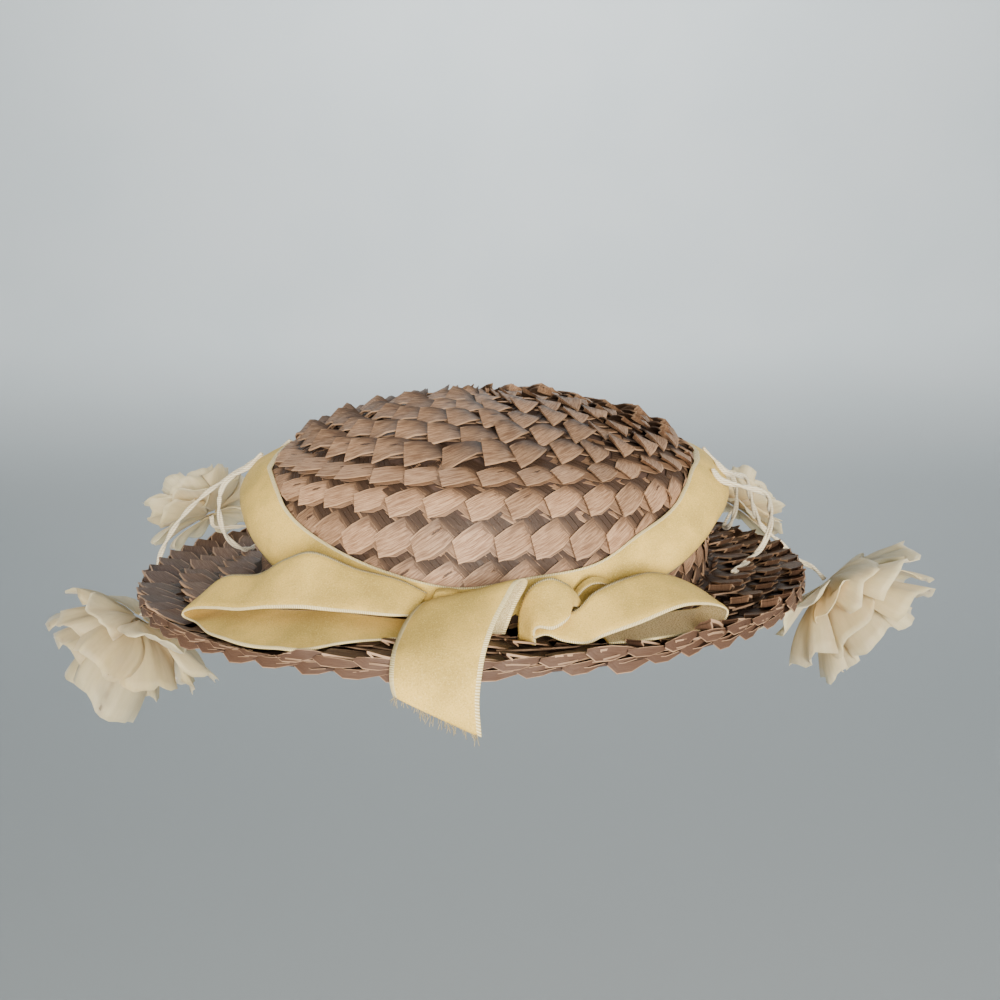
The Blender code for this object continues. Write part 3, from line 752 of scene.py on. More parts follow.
across = len(profile_length)
lengths = profile_length - (profile_length > profile_length[-1] - 2) * 1.2
grid = np.vstack([on_profile(np.full(across, k / CORE_STEPS), lengths, -CORE_DEPTH) for k in range(CORE_STEPS)])
faces = []
for k in range(CORE_STEPS):
    here, there = k * across, (k + 1) % CORE_STEPS * across
    faces += [[here + j, here + j + 1, there + j + 1, there + j] for j in range(across - 1)]
core = mesh_object("straw_core", grid, faces, np.zeros((len(grid), 2)), [core_painted_shade])
core_wall = core.modifiers.new("wall", "SOLIDIFY")
core_wall.thickness = CORE_THICK * MM
core_wall.offset = 0
apply_modifiers(core)
belongs(core, "straw")

# %% [markdown]
# ## Ribbon: the finish
#
# The ribbon is velvet on one side and satin on the other, with a woven edge. Velvet is matt in its middle
# and bright where it turns away, which the shader's sheen gives, and its pile is brushed lighter and darker
# in patches. The satin has fine ribs and a clear gloss. The edge is a row of tiny loops, a dot every half
# millimetre along the UV map.

# %% Nap group
nap, given, result = new_group(
    "brushed_nap",
    [("Vector", VECTOR, None), ("Patch", FLOAT, 45.0), ("Pile", FLOAT, 2600.0)],
    [("Patches", FLOAT), ("Pile", FLOAT)],
)
for scale, detail, rough, out in (("Patch", 3, 0.55, "Patches"), ("Pile", 2, 0.7, "Pile")):
    cloud = {"Vector": given["Vector"], "Scale": given[scale], "Detail": detail, "Roughness": rough}
    nap.links.new(add_node(nap, "ShaderNodeTexNoise", **cloud).outputs["Fac"], result[out])

# %% Velvet
VELVET_DEEP = (0.46, 0.31, 0.072, 1)
VELVET_CREAM = (0.85, 0.56, 0.130, 1)
VELVET_LIGHT = (0.96, 0.74, 0.27, 1)
VELVET_SHADE = (0.33, 0.22, 0.060, 1)

velvet, tree, shader = new_material(
    "velvet", Sheen_Weight=0.08, Sheen_Roughness=0.35, Sheen_Tint=(1.0, 0.86, 0.55, 1), Specular_IOR_Level=0.15
)
place = object_place(tree)
texture = use_group(tree, nap, Vector=place, Patch=48.0, Pile=2600.0)
cream = blend(tree, soft_step(tree, texture["Patches"], 0.3, 0.7), VELVET_DEEP, VELVET_CREAM)
cream = blend(tree, 0.12, cream, VELVET_CREAM)
cream = blend(tree, soft_step(tree, texture["Pile"], 0.5, 0.75, 0.0, 0.5), cream, VELVET_LIGHT)
cream = blend(tree, soft_step(tree, texture["Pile"], 0.48, 0.3, 0.0, 0.45), cream, VELVET_SHADE)
pile_bump = bumped(tree, 0.6, 0.0003, texture["Pile"])
pile_rough = soft_step(tree, texture["Pile"], 0.2, 0.8, 1.0, 0.8)
wire(tree, shader, Base_Color=cream, Normal=pile_bump, Roughness=pile_rough)

# %% Satin back and woven edge
SATIN = (0.52, 0.36, 0.13, 1)
SATIN_WEAVE_HIGHLIGHT = (0.94, 0.78, 0.44, 1)
EDGE_DEEP = (0.50, 0.34, 0.11, 1)
EDGE_LIGHT = (0.97, 0.84, 0.48, 1)
RIB_SCALE = 60.0 / 6.28
DOTS_PER_CM = 19.0

satin, tree, shader = new_material("satin_back", Specular_IOR_Level=0.75, Sheen_Weight=0.1)
uv = own_uv(tree)
along_x = {"bands_direction": "X"}
ribs = add_node(tree, "ShaderNodeTexWave", along_x, Vector=uv, Scale=RIB_SCALE, Distortion=1.5).outputs["Fac"]
flecks = noise_at(tree, uv, 24.0, 5)
# The colour runs from deep to light along the ribs and flecks: partly the weave, partly a painted highlight for
# the streaks of the satin's gloss.
weave_and_highlight = calc(tree, "ADD", calc(tree, "MULTIPLY", ribs, 0.35), soft_step(tree, flecks, 0.35, 0.65, 0.0, 0.65))
satin_bump = bumped(tree, 0.8, 0.0004, weave_and_highlight)
wire(tree, shader, Base_Color=blend(tree, weave_and_highlight, SATIN, SATIN_WEAVE_HIGHLIGHT), Normal=satin_bump)
wire(tree, shader, Roughness=soft_step(tree, flecks, 0.3, 0.7, 0.22, 0.38))

selvedge, tree, shader = new_material("woven_edge", Specular_IOR_Level=0.4)
uv = own_uv(tree)
split = in_parts(tree, uv)
turn_of_loop = calc(tree, "MULTIPLY", split[0], DOTS_PER_CM * 2 * math.pi)
loops = calc(tree, "MULTIPLY", calc(tree, "ADD", calc(tree, "SINE", turn_of_loop), 1.0), 0.5)
edge_bump = bumped(tree, 0.5, 0.0002, loops)
wire(tree, shader, Base_Color=blend(tree, loops, EDGE_DEEP, EDGE_LIGHT), Normal=edge_bump)
wire(tree, shader, Roughness=soft_step(tree, loops, 0.0, 1.0, 0.7, 0.4))
print("ribbon finishes made")

# %% [markdown]
# ## Ribbon: the shape
#
# A ribbon can only bend and twist, so each piece is a strip between two edges that run through a few
# stations, the same as on the solid parts. The pile stands up in the middle and thins out at the woven
# edges. The front and the back of the cloth are made as two skins that share their border, which gives each
# side its own finish.

# %% Cloth with two sides
PILE_PROFILE = [
    (0, 0.22), (0.045, 0.24), (0.075, 0.52), (0.16, 0.62),
    (0.84, 0.62), (0.925, 0.52), (0.955, 0.24), (1, 0.22),
]
ACROSS = [0, 0.05, 0.075, 0.16, 0.28, 0.4, 0.5, 0.6, 0.72, 0.84, 0.925, 0.95, 1]
BACK_THICK = 0.22
EDGE_COLUMN = 1
FRONT_SLOT, BACK_SLOT, EDGE_SLOT = 0, 1, 2


def cloth_grid(edge_a, edge_b, shares):
    """Points between two edges of equal length, in mm."""
    shares = np.asarray(shares)[None, :, None]
    return edge_a[:, None, :] * (1 - shares) + edge_b[:, None, :] * shares


def grid_normals(grid, closed=False):
    """Unit normals of a grid of points, from its slopes along and across."""
    if closed:
        ring = np.concatenate([grid[-1:], grid, grid[:1]])
        along = (ring[2:] - ring[:-2]) / 2
    else:
        along = np.gradient(grid, axis=0)
    normals = np.cross(along, np.gradient(grid, axis=1))
    return normals / np.maximum(np.linalg.norm(normals, axis=2), 1e-9)[:, :, None]


def two_sided(name, grid, back, closed=False, flip=False):
    """A ribbon piece of a velvet skin and a back skin round a grid in mm, with UVs in cm."""
    normals = grid_normals(grid, closed) * (-1 if flip else 1)
    count, wide = grid.shape[:2]
    pile = np.interp(ACROSS, *zip(*PILE_PROFILE))[None, :, None]
    skins = [grid + normals * pile, grid - normals * BACK_THICK]
    uv = grid_uv(travelled(grid[:, wide // 2]) / 10, travelled(grid[count // 2]) / 10)
    faces, slots = [], []
    size = count * wide
    for i in range(count if closed else count - 1):
        here, there = i * wide, (i + 1) % count * wide
        for j in range(wide - 1):
            quad = [here + j, there + j, there + j + 1, here + j + 1]
            if flip:
                quad.reverse()
            faces += [quad, [size + k for k in reversed(quad)]]
            at_edge = j < EDGE_COLUMN or j >= wide - 1 - EDGE_COLUMN
            slots += [EDGE_SLOT, EDGE_SLOT] if at_edge else [FRONT_SLOT, BACK_SLOT]
        for j, turned in ((0, False), (wide - 1, True)):
            quad = [here + j, size + here + j, size + there + j, there + j]
            faces.append(quad[::-1] if turned != flip else quad)
            slots.append(EDGE_SLOT)
    if not closed:
        for i, turned in ((0, True), (count - 1, False)):
            for j in range(wide - 1):
                a, b = i * wide + j, i * wide + j + 1
                quad = [a, size + a, size + b, b]
                faces.append(quad[::-1] if turned != flip else quad)
                slots.append(FRONT_SLOT)
    points = np.vstack([skin.reshape(-1, 3) for skin in skins])
    obj = mesh_object(name, points, faces, np.vstack([uv, uv]), [velvet, back, selvedge])
    obj.data.polygons.foreach_set("material_index", slots)
    return obj


def flat_area(grid):
    """The area of a grid's faces."""
    a, b, c, d = grid[:-1, :-1], grid[1:, :-1], grid[1:, 1:], grid[:-1, 1:]
    halves = [np.linalg.norm(np.cross(near - a, far - a), axis=2) for near, far in ((b, c), (c, d))]
    return float(sum(halves).sum() / 2)


def crumpled(grid, depth, size, seed, flip=False):
    """A grid with soft dents and swells."""
    normals = grid_normals(grid) * (-1 if flip else 1)
    waves = np.array([[noise.noise(Vector(p) / size + Vector((seed, 0, 0))) for p in row] for row in grid])
    ends = np.sin(np.linspace(0, math.pi, len(grid)))[:, None] ** 0.5
    return grid + normals * (waves * depth * ends)[:, :, None]


# %% Bow pieces
RIBBON_STEPS = 9
CRUMPLE_SIZE = 14.0
LEFT_LOOP = [
    ((-8.5, -94, 14), (-11.5, -102, 9.5)), ((-17, -93.5, 18), (-18, -106, 11)),
    ((-29, -93, 21), (-30, -107.5, 12.5)), ((-42, -92.5, 26), (-41, -108, 13.5)),
    ((-50, -92, 24), (-51, -105.5, 12.5)), ((-60, -89, 18.5), (-61, -103, 11.5)),
    ((-72, -84, 16), (-71, -99, 10.5)), ((-79.5, -81, 11.5), (-79, -95, 8.5)),
    ((-82.5, -81, 8), (-82.5, -93.5, 6.6)), ((-79, -84, 6.4), (-77.5, -97, 5.6)),
    ((-69, -89.5, 8), (-68.5, -107, 5.6)), ((-57, -94, 9.2), (-57.5, -114.5, 5.6)),
    ((-44, -97, 9.8), (-44.5, -119.5, 5.6)), ((-36, -98, 9.8), (-36.5, -121.5, 5.7)),
    ((-28, -98, 9), (-28.5, -115.5, 5.7)), ((-16, -97, 7.2), (-17.5, -110.5, 5.6)),
    ((-8.5, -97.5, 6.4), (-9, -107, 5.4)),
]
RIGHT_LOOP = [
    ((20.8, -104.6, 8.6), (22.9, -109.9, 6.2)), ((25.8, -108.2, 9.6), (26.3, -111, 7.5)),
    ((29.6, -105, 11), (30.8, -111.8, 6)), ((34.6, -103, 12.3), (36.8, -111.6, 5.3)),
    ((38.6, -98.8, 15.2), (41, -110.6, 6.8)), ((43, -95, 16.9), (45.5, -109.4, 8.4)),
    ((48.5, -90.5, 18), (50.5, -107.5, 10)), ((56, -86.5, 18.8), (57.5, -103.5, 11.5)),
    ((62, -83, 17), (66, -98, 12.3)), ((69, -80, 13.5), (73, -93, 11.3)), ((74, -79, 9.3), (78, -90, 8.4)),
    ((71.5, -79, 5.6), (76, -91.5, 5)), ((64, -81, 5), (69.5, -98.5, 4.9)), ((55, -83.5, 5), (61, -103, 4.9)),
    ((46, -88, 5), (51.5, -107.5, 4.9)), ((39, -93, 5), (43, -109, 4.8)),
]
PUFF = [
    ((18.4, -105, 4.3), (23.4, -109.6, 4.3)), ((18.8, -102.5, 11.5), (23, -110, 8)),
    ((21.6, -100, 17.4), (24.4, -110.6, 9.4)), ((26.6, -99, 20), (28.2, -111.2, 9.4)),
    ((31.2, -98.3, 18.4), (32.2, -108.4, 11.4)), ((34, -97, 15.6), (33.4, -103.4, 13.2)),
    ((36, -96, 11), (35.4, -98.8, 11)), ((36.8, -95.6, 6.4), (36.2, -98, 6.4)),
]
TUCK = [
    ((31.5, -87.6, 3.7), (32, -91, 4)), ((34, -87.2, 12), (34.6, -90.4, 11.4)),
    ((38.6, -86, 16.6), (39, -88.8, 15.4)), ((44, -83.8, 15.4), (44.8, -86.4, 14.4)),
    ((47, -82.6, 9.5), (48, -85.2, 9)),
]
TAIL = [
    ((-3, -99.5, 4.2), (14.5, -101, 4.3)), ((-4.2, -98.5, 9.2), (17.4, -100.5, 12)),
    ((-6, -100, 13), (21, -104, 20)), ((-9, -105, 13.2), (19, -109, 21.5)),
    ((-11.5, -112, 11), (16.5, -115, 18.6)), ((-12.5, -119, 8.6), (13.8, -121.5, 14.4)),
    ((-12.4, -125.5, 6.6), (12, -126.6, 10)), ((-12, -130, 3.4), (10.9, -130, 4.4)),
    ((-11.6, -131, 0.6), (10.2, -131.2, -3)), ((-11, -131, -1.6), (10.6, -131.4, -11.5)),
]
# The pieces: name, stations, whether it is turned over, crumple in mm, share of the width, finish of the back
BOW = [
    ("bow_left_loop", LEFT_LOOP, False, 1.2, 1.0, velvet),
    ("bow_right_loop", RIGHT_LOOP, True, 0.9, 1.0, satin),
    ("bow_puff", PUFF, True, 0.5, 0.5, velvet),
    ("bow_tuck", TUCK, True, 0.2, 0.17, satin),
    ("bow_tail", TAIL, False, 0.6, 1.0, satin),
]


def ribbon_piece(name, stations, flip, depth, width_share, back):
    """One piece of the bow. width_share, the part of the ribbon's width that isn't folded away in it, is not
    used.
    """
    edges = [through([station[side] for station in stations], RIBBON_STEPS) for side in (0, 1)]
    grid = crumpled(cloth_grid(*edges, ACROSS), depth, CRUMPLE_SIZE, len(name), flip)
    obj = two_sided("ribbon_" + name, grid, back, flip=flip)
    belongs(obj, "velvet", name)


for row in BOW:
    ribbon_piece(*row)

# %% [markdown]
# Behind the tail, the ribbon is drawn together into a small knot. It is a pad of folded cloth, so it starts
# as a box, which is subdivided, rounded towards a ball and pinched in round its waist. Subdivision then
# makes it soft.

# %% Knot
KNOT_CENTRE = (-2.7, -94.6, 9.6)
KNOT_SIZE = (7.4, 5.0, 12.5)
KNOT_CUTS = 5
KNOT_ROUND = 0.55
KNOT_PINCH = 0.72
KNOT_WAIST = 1.6
KNOT_FOLDS, KNOT_SLANT, KNOT_FOLD_DEEP = 2.1, 0.25, 0.45

bpy.ops.object.select_all(action="DESELECT")
bpy.ops.mesh.primitive_cube_add(size=MM, location=Vector(KNOT_CENTRE) * MM, scale=KNOT_SIZE)
knot = bpy.context.object
knot.name = "ribbon_bow_knot"
bpy.ops.object.transform_apply(location=False, rotation=False, scale=True)
bpy.ops.object.mode_set(mode="EDIT")
bpy.ops.mesh.select_all(action="SELECT")
bpy.ops.mesh.subdivide(number_cuts=KNOT_CUTS)
bpy.ops.transform.tosphere(value=KNOT_ROUND)
bpy.ops.mesh.select_all(action="DESELECT")
bpy.ops.object.mode_set(mode="OBJECT")
for vertex in knot.data.vertices:
    vertex.select = abs(vertex.co.z) < KNOT_WAIST * MM
bpy.ops.object.mode_set(mode="EDIT")
bpy.ops.transform.resize(value=(KNOT_PINCH, 1, 1))
bpy.ops.object.mode_set(mode="OBJECT")
bpy.ops.object.transform_apply(location=True, rotation=False, scale=False)
for vertex in knot.data.vertices:
    fold = math.sin((KNOT_FOLDS * vertex.co.x + KNOT_SLANT * vertex.co.z) / MM)
    vertex.co.y -= KNOT_FOLD_DEEP * MM * fold
rounding = knot.modifiers.new("rounding", "SUBSURF")
rounding.levels = rounding.render_levels = 2
apply_modifiers(knot)
bpy.ops.object.shade_smooth()
knot.data.materials.append(velvet)
belongs(knot, "velvet", "bow_knot")
print("knot", len(knot.data.polygons), "faces")

# %% [markdown]
# The tail was cut on the slant and never hemmed, so threads stand out of its end. Each is a short thin tube
# that bends a little under its own weight, and they are drawn along the cut with a seeded chance.

# %% Frayed end
FRAY_COUNT = 70
FRAY_RADIUS = 0.09
FRAY_LENGTH = (0.8, 3.0)
FRAY_SIDES = 4


def tube(line, radius, sides):
    """Closed skin of a round tube along a line of points, in mm: points, faces and UVs."""
    line = np.asarray(line, float)
    ways = np.gradient(line, axis=0)
    ways /= np.linalg.norm(ways, axis=1)[:, None]
    side = np.cross(ways[0], (0.3, 0.1, 0.95))
    points, uvs = [], []
    lengths = travelled(line)
    for spot, way, length in zip(line, ways, lengths):
        side = side - way * side.dot(way)
        side /= np.linalg.norm(side)
        other = np.cross(way, side)
        for k in range(sides):
            turn = 2 * math.pi * k / sides
            points.append(spot + radius * (math.cos(turn) * side + math.sin(turn) * other))
            uvs.append((length / 10, k / sides))
    faces = []
    for i in range(len(line) - 1):
        here, there = i * sides, (i + 1) * sides
        faces += [[here + k, here + (k + 1) % sides, there + (k + 1) % sides, there + k] for k in range(sides)]
    last = (len(line) - 1) * sides
    points += [line[0], line[-1]]
    uvs += [(0, 0), (lengths[-1] / 10, 0)]
    start, end = len(points) - 2, len(points) - 1
    for k in range(sides):
        n = (k + 1) % sides
        faces += [[n, k, start], [last + k, last + n, end]]
    return np.array(points), faces, np.array(uvs)


draw = np.random.default_rng(21)
cut_start, cut_end = (np.array(side, float) for side in TAIL[-1])
threads = []
for _ in range(FRAY_COUNT):
    root = cut_start + (cut_end - cut_start) * draw.uniform(0.01, 0.99) + (0, -0.3, 0.3)
    way = np.array([draw.normal(0, 0.35), draw.normal(-0.1, 0.25), -1.0]) * draw.uniform(*FRAY_LENGTH)
    bend = draw.normal(0, 0.3, 3)
    threads.append(tube([root, root + 0.5 * way + 0.4 * bend, root + way + bend], FRAY_RADIUS, FRAY_SIDES))
fray = mesh_object("ribbon_tail_fray", *joined(threads), [satin])
belongs(fray, "velvet")
print("frayed end", FRAY_COUNT, "threads")

# %% [markdown]
# The band is the same ribbon, drawn round the crown and closed behind the bow. It is high and stands off
# the crown at the sides, and sweeps down flat to the bow. A table gives its two edges and its flare at a
# few azimuths.

# %% Band
BAND_GAP = 1.5
BAND_STEPS = 240
BAND_FLARE_TURN = 0.8 * math.pi


def rounded_column(column, azimuths):
    """A column of the band's table as a smooth curve, read at those azimuths."""
    curve = through([(row[0], row[column]) for row in BAND_EDGES], 8)
    return np.interp(azimuths, *curve.T)


def band_radius(height, share, flare):
    """The band's distance from the axis at a height, a share of its width and a flare."""
    lips = np.array([(z, r) for _, r, z in reversed(CROWN_LIPS)])
    return np.interp(height, *lips.T) + BAND_GAP + flare * np.sin(BAND_FLARE_TURN * share)


def band_grid():
    """Points of the band round the crown, in mm."""
    azimuths = np.linspace(-180, 180, BAND_STEPS, endpoint=False)[:, None]
    shares = np.asarray(ACROSS)[None, :]
    top, bottom, flare = (rounded_column(column, azimuths) for column in (1, 2, 3))
    height = top + shares * (bottom - top)
    radius = band_radius(height, shares, flare)
    angle = np.radians(azimuths)
    points = np.stack([radius * np.sin(angle), -radius * np.cos(angle), height], axis=-1)
    return settled(points.reshape(-1, 3)).reshape(points.shape)


grid = band_grid()
band = two_sided("ribbon_band_velvet", grid, satin, closed=True, flip=True)
belongs(band, "velvet", "ribbon_band")

# %% [markdown]
# ## Flowers
#
# The silk flowers are layers of thin ivory petals, glued round a small bud of stamens. The silk is so thin
# that light comes through it, and its cut ends are ragged. A petal is a grid that is cupped along its
# length and ruffled across its end. It is made once as a function and drawn again for each petal with a
# little chance in its length and ruffle.

# %% Silk
SILK_IVORY = (0.76, 0.58, 0.29, 1)
SILK_WARM = (0.55, 0.36, 0.14, 1)

silk, tree, shader = new_material(
    "petal_silk", Roughness=0.7, Sheen_Weight=0.15, Subsurface_Weight=0.6, Subsurface_Scale=0.005,
    Subsurface_Radius=(1.0, 0.8, 0.6)
)
uv = own_uv(tree)
split = in_parts(tree, uv)
place = object_place(tree)
tone = point_value(tree, "tone")
texture = use_group(tree, fibre, Vector=uv, Seed=tone, Along=2.0, Across=9.0)
# The silk turns warmer and darker towards each petal's base, deep in the flower: painted shade. Each petal's own
# tone and the fibre grain add warmth at random.
shade_and_tone = blend(tree, soft_step(tree, split[0], 0.0, 0.7), SILK_WARM, SILK_IVORY)
shade_and_tone = blend(tree, soft_step(tree, tone, 0.0, 1.0, 0.4, 0.0), shade_and_tone, SILK_WARM)
shade_and_tone = blend(tree, soft_step(tree, texture["Grain"], 0.3, 0.7, 0.25, 0.0), shade_and_tone, SILK_WARM)
weave = noise_at(tree, place, 3500.0, 1)
silk_bump = bumped(tree, 0.25, 0.0002, calc(tree, "ADD", weave, texture["Grain"]))
wire(tree, shader, Base_Color=shade_and_tone, Normal=silk_bump)
wire(tree, shader, Alpha=soft_step(tree, texture["Grain"], 0.2, 0.7, 0.86, 1.0))

# %% Petals
# The flowers: name, heart in mm, way of facing, radius in mm, turn in degrees
FLOWERS = [
    ("flower_right_drop", (141, 10, -9), (0.62, -0.42, -0.66), 36, 10),
    ("flower_right_brim", (113, 56, 15), (0.5, 0.25, 0.83), 24, 35),
    ("flower_left_drop", (-158, 10, -28), (-0.55, -0.3, -0.78), 38, 50),
    ("flower_left_brim", (-142, 52, 12), (-0.5, 0.25, 0.83), 31, 20),
]
# The rings of each layer: share of the flower's radius, cup, petals, turn in petals, height in mm
LAYERS = {
    "outer": [(1.0, 0.02, 6, 0.0, 0.0), (0.96, 0.36, 6, 0.5, 0.7)],
    "inner": [(0.76, 0.72, 5, 0.2, 1.5), (0.5, 1.2, 4, 0.7, 2.1)],
}
SILK_THICK = 0.2
PETAL_ALONG = np.linspace(0.1, 1, 12)
PETAL_ACROSS = np.linspace(-1, 1, 13)
DROOP = 0.12
# The least and the most of what is drawn for each petal
LENGTHS, SPREADS, WAVES = (0.8, 1.12), (1.1, 1.45), (1.2, 2.4)
LEANS, CURLS, TWISTS = (-0.16, 0.2), (-0.16, 0.22), (-0.16, 0.16)
RUFFLE, CREASE, CREASES = 0.055, 0.02, 9
END_ROUND, END_NOTCH, NOTCH_WIDE, END_RAGGED = 0.24, 0.04, 0.16, 0.10


def petal(radius, cup, count, angle, draw):
    """A cupped petal about the flower's Z axis, as a grid in mm."""
    length = radius * draw.uniform(*LENGTHS)
    spread = math.pi / count * draw.uniform(*SPREADS)
    phase, waves, lean = draw.uniform(0, 6.28), draw.uniform(*WAVES), draw.uniform(*LEANS)
    curl, twist = draw.uniform(*CURLS), draw.uniform(*TWISTS)
    a, b = np.meshgrid(PETAL_ALONG, PETAL_ACROSS, indexing="ij")
    width = np.sin(math.pi * np.clip(0.08 + 0.66 * a, 0, 1)) ** 0.75
    ragged = np.array([noise.noise(Vector((4.3 * k + phase, angle, radius))) for k in PETAL_ACROSS])
    notch = END_NOTCH * np.exp(-((b / NOTCH_WIDE) ** 2))
    end = 1 - END_ROUND * np.abs(b) ** 2.2 - notch + END_RAGGED * ragged[None, :]
    reach = length * a * (1 + (end - 1) * a**2)
    turn = angle + spread * b * width
    ruffle = RUFFLE * a**1.5 * np.sin(waves * math.pi * b + phase + 2 * a)
    crease = CREASE * a * np.sin(CREASES * b + 3 * phase + 1.5 * a)
    height = length * ((cup + lean) * a**1.5 + ruffle + crease + curl * a**4 + twist * a**2 * b)
    return np.stack([reach * np.cos(turn), reach * np.sin(turn), height], axis=-1)


def skins_of(grid, thick):
    """Closed skins round a grid: points, faces and UVs."""
    count, wide = grid.shape[:2]
    half = grid_normals(grid) * thick / 2
    points = np.vstack([(grid + half).reshape(-1, 3), (grid - half).reshape(-1, 3)])
    uv = grid_uv(np.linspace(0, 1, count), np.linspace(0, 1, wide))
    return points, skin_faces(count, wide), np.vstack([uv, uv])


def stand_of(heart, facing):
    """The matrix that puts a flower, made round Z, at its heart and way of facing, in mm."""
    return Matrix.Translation(Vector(heart)) @ Vector(facing).to_track_quat("Z", "Y").to_matrix().to_4x4()


def make_flower(name, heart, facing, radius, turn):
    """Two layers of petals, facing as the solid flower does."""
    draw = np.random.default_rng(sum(map(ord, name)))
    stand = np.array(stand_of(heart, facing))
    for layer, rings in LAYERS.items():
        parts, tones, area = [], [], 0
        for share, cup, count, offset, up in rings:
            for k in range(count):
                angle = math.radians(turn) + 2 * math.pi * (k + offset) / count
                grid = petal(radius * share, cup, count, angle, draw) + (0, 0, up + 0.25 * (k % 2))
                grid = grid @ stand[:3, :3].T + stand[:3, 3]
                grid[:, :, 2] -= DROOP * radius * (PETAL_ALONG**2)[:, None]
                area += flat_area(grid)
                parts.append(skins_of(grid, SILK_THICK))
                tones.append(np.full(len(parts[-1][0]), draw.uniform()))
        obj = mesh_object(f"petals_{name}_{layer}", *joined(parts), [silk], tone=np.hstack(tones))
        belongs(obj, "silk", f"{name}_{layer}")
        print(obj.name, len(parts), "petals,", round(area / 100), "square cm")


for row in FLOWERS:
    make_flower(*row)

# %% [markdown]
# At each flower's heart sits a tight bud of thread-wound stamens. One bud is modelled: a small ball whose
# faces are inset and drawn out one by one into knobs. Each flower then gets its own copy, turned to face as
# its petals do.

# %% Buds
BUD_RADIUS = 3.9
BUD_HEIGHT = 6.3
KNOB_INSET, KNOB_OUT = 0.35, 1.5

bud_thread, tree, shader = new_material("bud_thread", Roughness=0.75, Sheen_Weight=0.3)
place = object_place(tree)
fuzz = noise_at(tree, place, 1400.0, 3)
fuzzed = blend(tree, soft_step(tree, fuzz, 0.35, 0.65), SILK_WARM, SILK_IVORY)
wire(tree, shader, Base_Color=fuzzed, Normal=bumped(tree, 0.5, 0.0002, fuzz))

bpy.ops.object.select_all(action="DESELECT")
bpy.ops.mesh.primitive_ico_sphere_add(subdivisions=2, radius=BUD_RADIUS * MM, location=(0, 0, 0))
bud = bpy.context.object
bpy.ops.object.mode_set(mode="EDIT")
bpy.ops.mesh.select_all(action="SELECT")
bpy.ops.mesh.inset(thickness=KNOB_INSET * MM, depth=0, use_individual=True)
bpy.ops.mesh.extrude_faces_move(TRANSFORM_OT_shrink_fatten={"value": KNOB_OUT * MM})
bpy.ops.object.mode_set(mode="OBJECT")
rounding = bud.modifiers.new("rounding", "SUBSURF")
rounding.levels = rounding.render_levels = 1
apply_modifiers(bud)
bpy.ops.object.shade_smooth()
bud.data.materials.append(bud_thread)
for name, heart, facing, *_ in FLOWERS:
    copy = bpy.data.objects.new(f"bud_{name}", bud.data.copy())
    bpy.context.scene.collection.objects.link(copy)
    stand = stand_of(heart, facing) @ Matrix.Translation((0, 0, BUD_HEIGHT))
    copy.data.transform(Matrix.Scale(MM, 4) @ stand @ Matrix.Scale(1 / MM, 4))
    belongs(copy, "silk", f"{name}_heart")
bpy.data.objects.remove(bud)
print("buds", len(FLOWERS))

# %% [markdown]
# ## Stems
#
# The flowers hang on thin wires wound with pale silk thread. A wire holds the curve it is bent to, so each
# stem is a smooth line through a few points, and two thin tubes wind slowly about it. The thread's winding
# is a fine wave on the Object coordinates.

# %% Stem material
STEM_PALE = (0.83, 0.75, 0.55, 1)
STEM_DEEP = (0.55, 0.44, 0.26, 1)

wound, tree, shader = new_material("wound_thread", Roughness=0.6, Sheen_Weight=0.3)
place = object_place(tree)
along_z = {"bands_direction": "Z"}
winding = add_node(tree, "ShaderNodeTexWave", along_z, Vector=place, Scale=420.0, Distortion=2.0).outputs["Fac"]
thread_bump = bumped(tree, 0.4, 0.0002, winding)
wire(tree, shader, Base_Color=blend(tree, winding, STEM_DEEP, STEM_PALE), Normal=thread_bump)

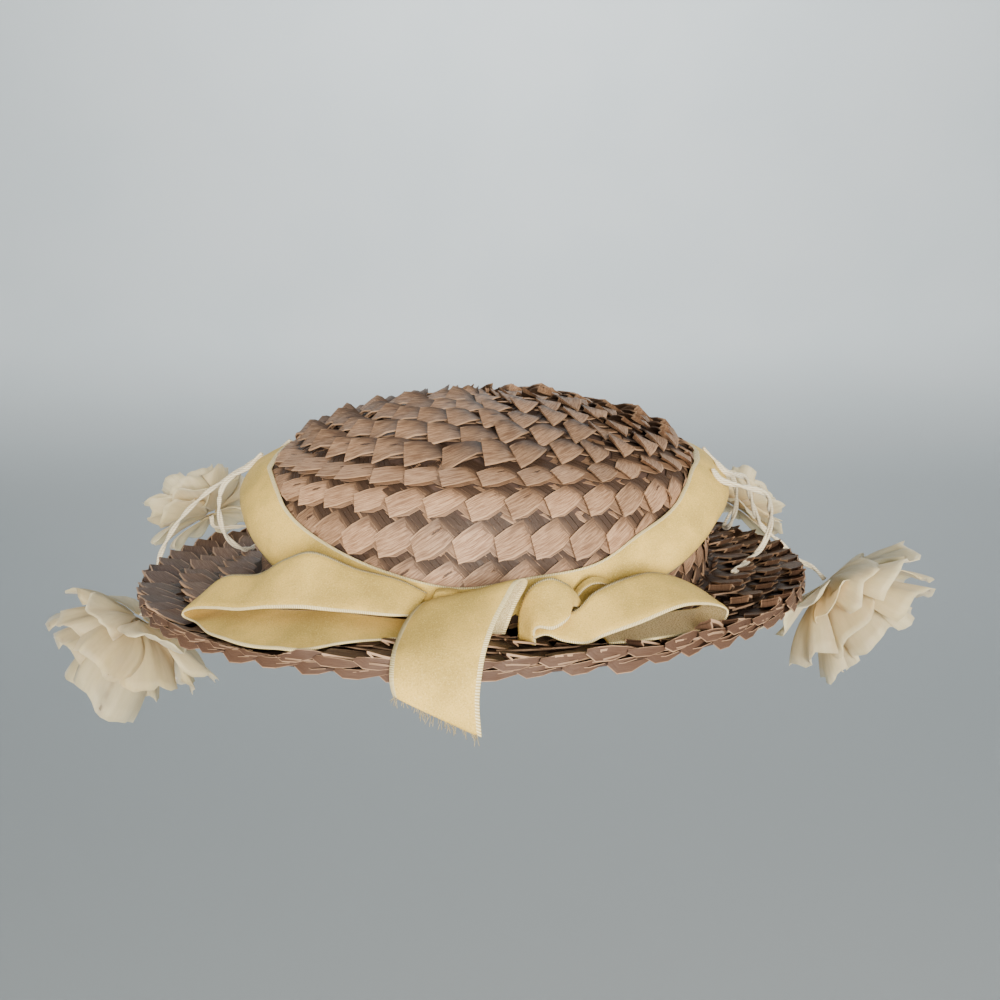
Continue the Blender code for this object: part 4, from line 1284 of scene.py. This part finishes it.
# %% Stems
# The stems: name, azimuth on the band in degrees, share of the band's width, points on the way in mm, flower
STEMS = [
    ("stem_right_drop", 78, 0.2,
     [(103, -4, 36), (108, 6, 26), (114.5, 14, 14), (124, 18, 5.5), (131, 17, -1.5)], "flower_right_drop"),
    ("stem_right_brim", 96, 0.2,
     [(102.5, 16, 34), (106, 22, 22), (106, 32, 11), (106.5, 45, 7)], "flower_right_brim"),
    ("stem_right_curl", 68, 0.2,
     [(103, -30, 34), (109, -18, 26), (112, -8, 17), (109, -8, 9), (101, -18, 5.6), (93, -32, 5.2)], None),
    ("stem_left_drop", -97, 0.15,
     [(-102, 12, 42), (-112, 12, 36), (-124, 11, 28), (-136, 11, 17), (-145, 11, 4), (-150, 11, -9)],
     "flower_left_drop"),
    ("stem_left_brim", -80, 0.2,
     [(-101, -18, 37), (-104, -19, 28), (-104, -16, 16), (-101, -8, 8), (-102, 8, 5.3), (-108, 28, 5.3),
      (-116, 45, 7.5)], "flower_left_brim"),
]
STEM_OFF, STEM_GAP, STEM_NECK, STEM_HOLD = 2.0, 0.4, 7, 0.22
FLOWER_BACK = 0.5
STRAND_RADIUS, STRAND_APART, STRAND_TWIST = 0.6, 0.52, 26
SIDES = 8


def on_band(azimuth, share, off):
    """A point off the band's face, in mm."""
    top, bottom, flare = (band_at(azimuth, column) for column in (1, 2, 3))
    spots = []
    for at in (share, share + 0.01):
        height = top + at * (bottom - top)
        spots.append(np.array([band_radius(height, at, flare), height]))
    down = (spots[1] - spots[0]) / np.linalg.norm(spots[1] - spots[0])
    radius, height = spots[0] + np.array([-down[1], down[0]]) * off
    angle = math.radians(azimuth)
    return settled(np.array([[radius * math.sin(angle), -radius * math.cos(angle), height]]))[0]


def behind_flower(name, distance):
    """A point behind a flower's heart, where its stem comes in, in mm."""
    heart, facing = next(row[1:3] for row in FLOWERS if row[0] == name)
    return np.array(heart) - np.array(facing) / np.linalg.norm(facing) * (distance + FLOWER_BACK)


def strand(line, phase):
    """One of the two thin wires that wind slowly about a stem's line."""
    ways = np.gradient(line, axis=0)
    side = np.cross(ways, (0.2, 0.1, 0.97))
    side /= np.linalg.norm(side, axis=1)[:, None]
    other = np.cross(ways / np.linalg.norm(ways, axis=1)[:, None], side)
    turn = (phase + 2 * math.pi * travelled(line) / STRAND_TWIST)[:, None]
    return line + STRAND_APART * (np.cos(turn) * side + np.sin(turn) * other)


for name, azimuth, share, route, flower in STEMS:
    points = [on_band(azimuth, at, STEM_OFF) for at in (share, share + STEM_HOLD)]
    points += [np.array(point, float) for point in route]
    if flower:
        points += [behind_flower(flower, STEM_NECK), behind_flower(flower, STEM_GAP)]
    line = through(points, 8)
    strands = [tube(strand(line, phase), STRAND_RADIUS, SIDES) for phase in (0, math.pi)]
    stem = mesh_object("wire_" + name, *joined(strands), [wound])
    belongs(stem, "stem", name)
    print(stem.name, round(travelled(line)[-1]), "mm long")
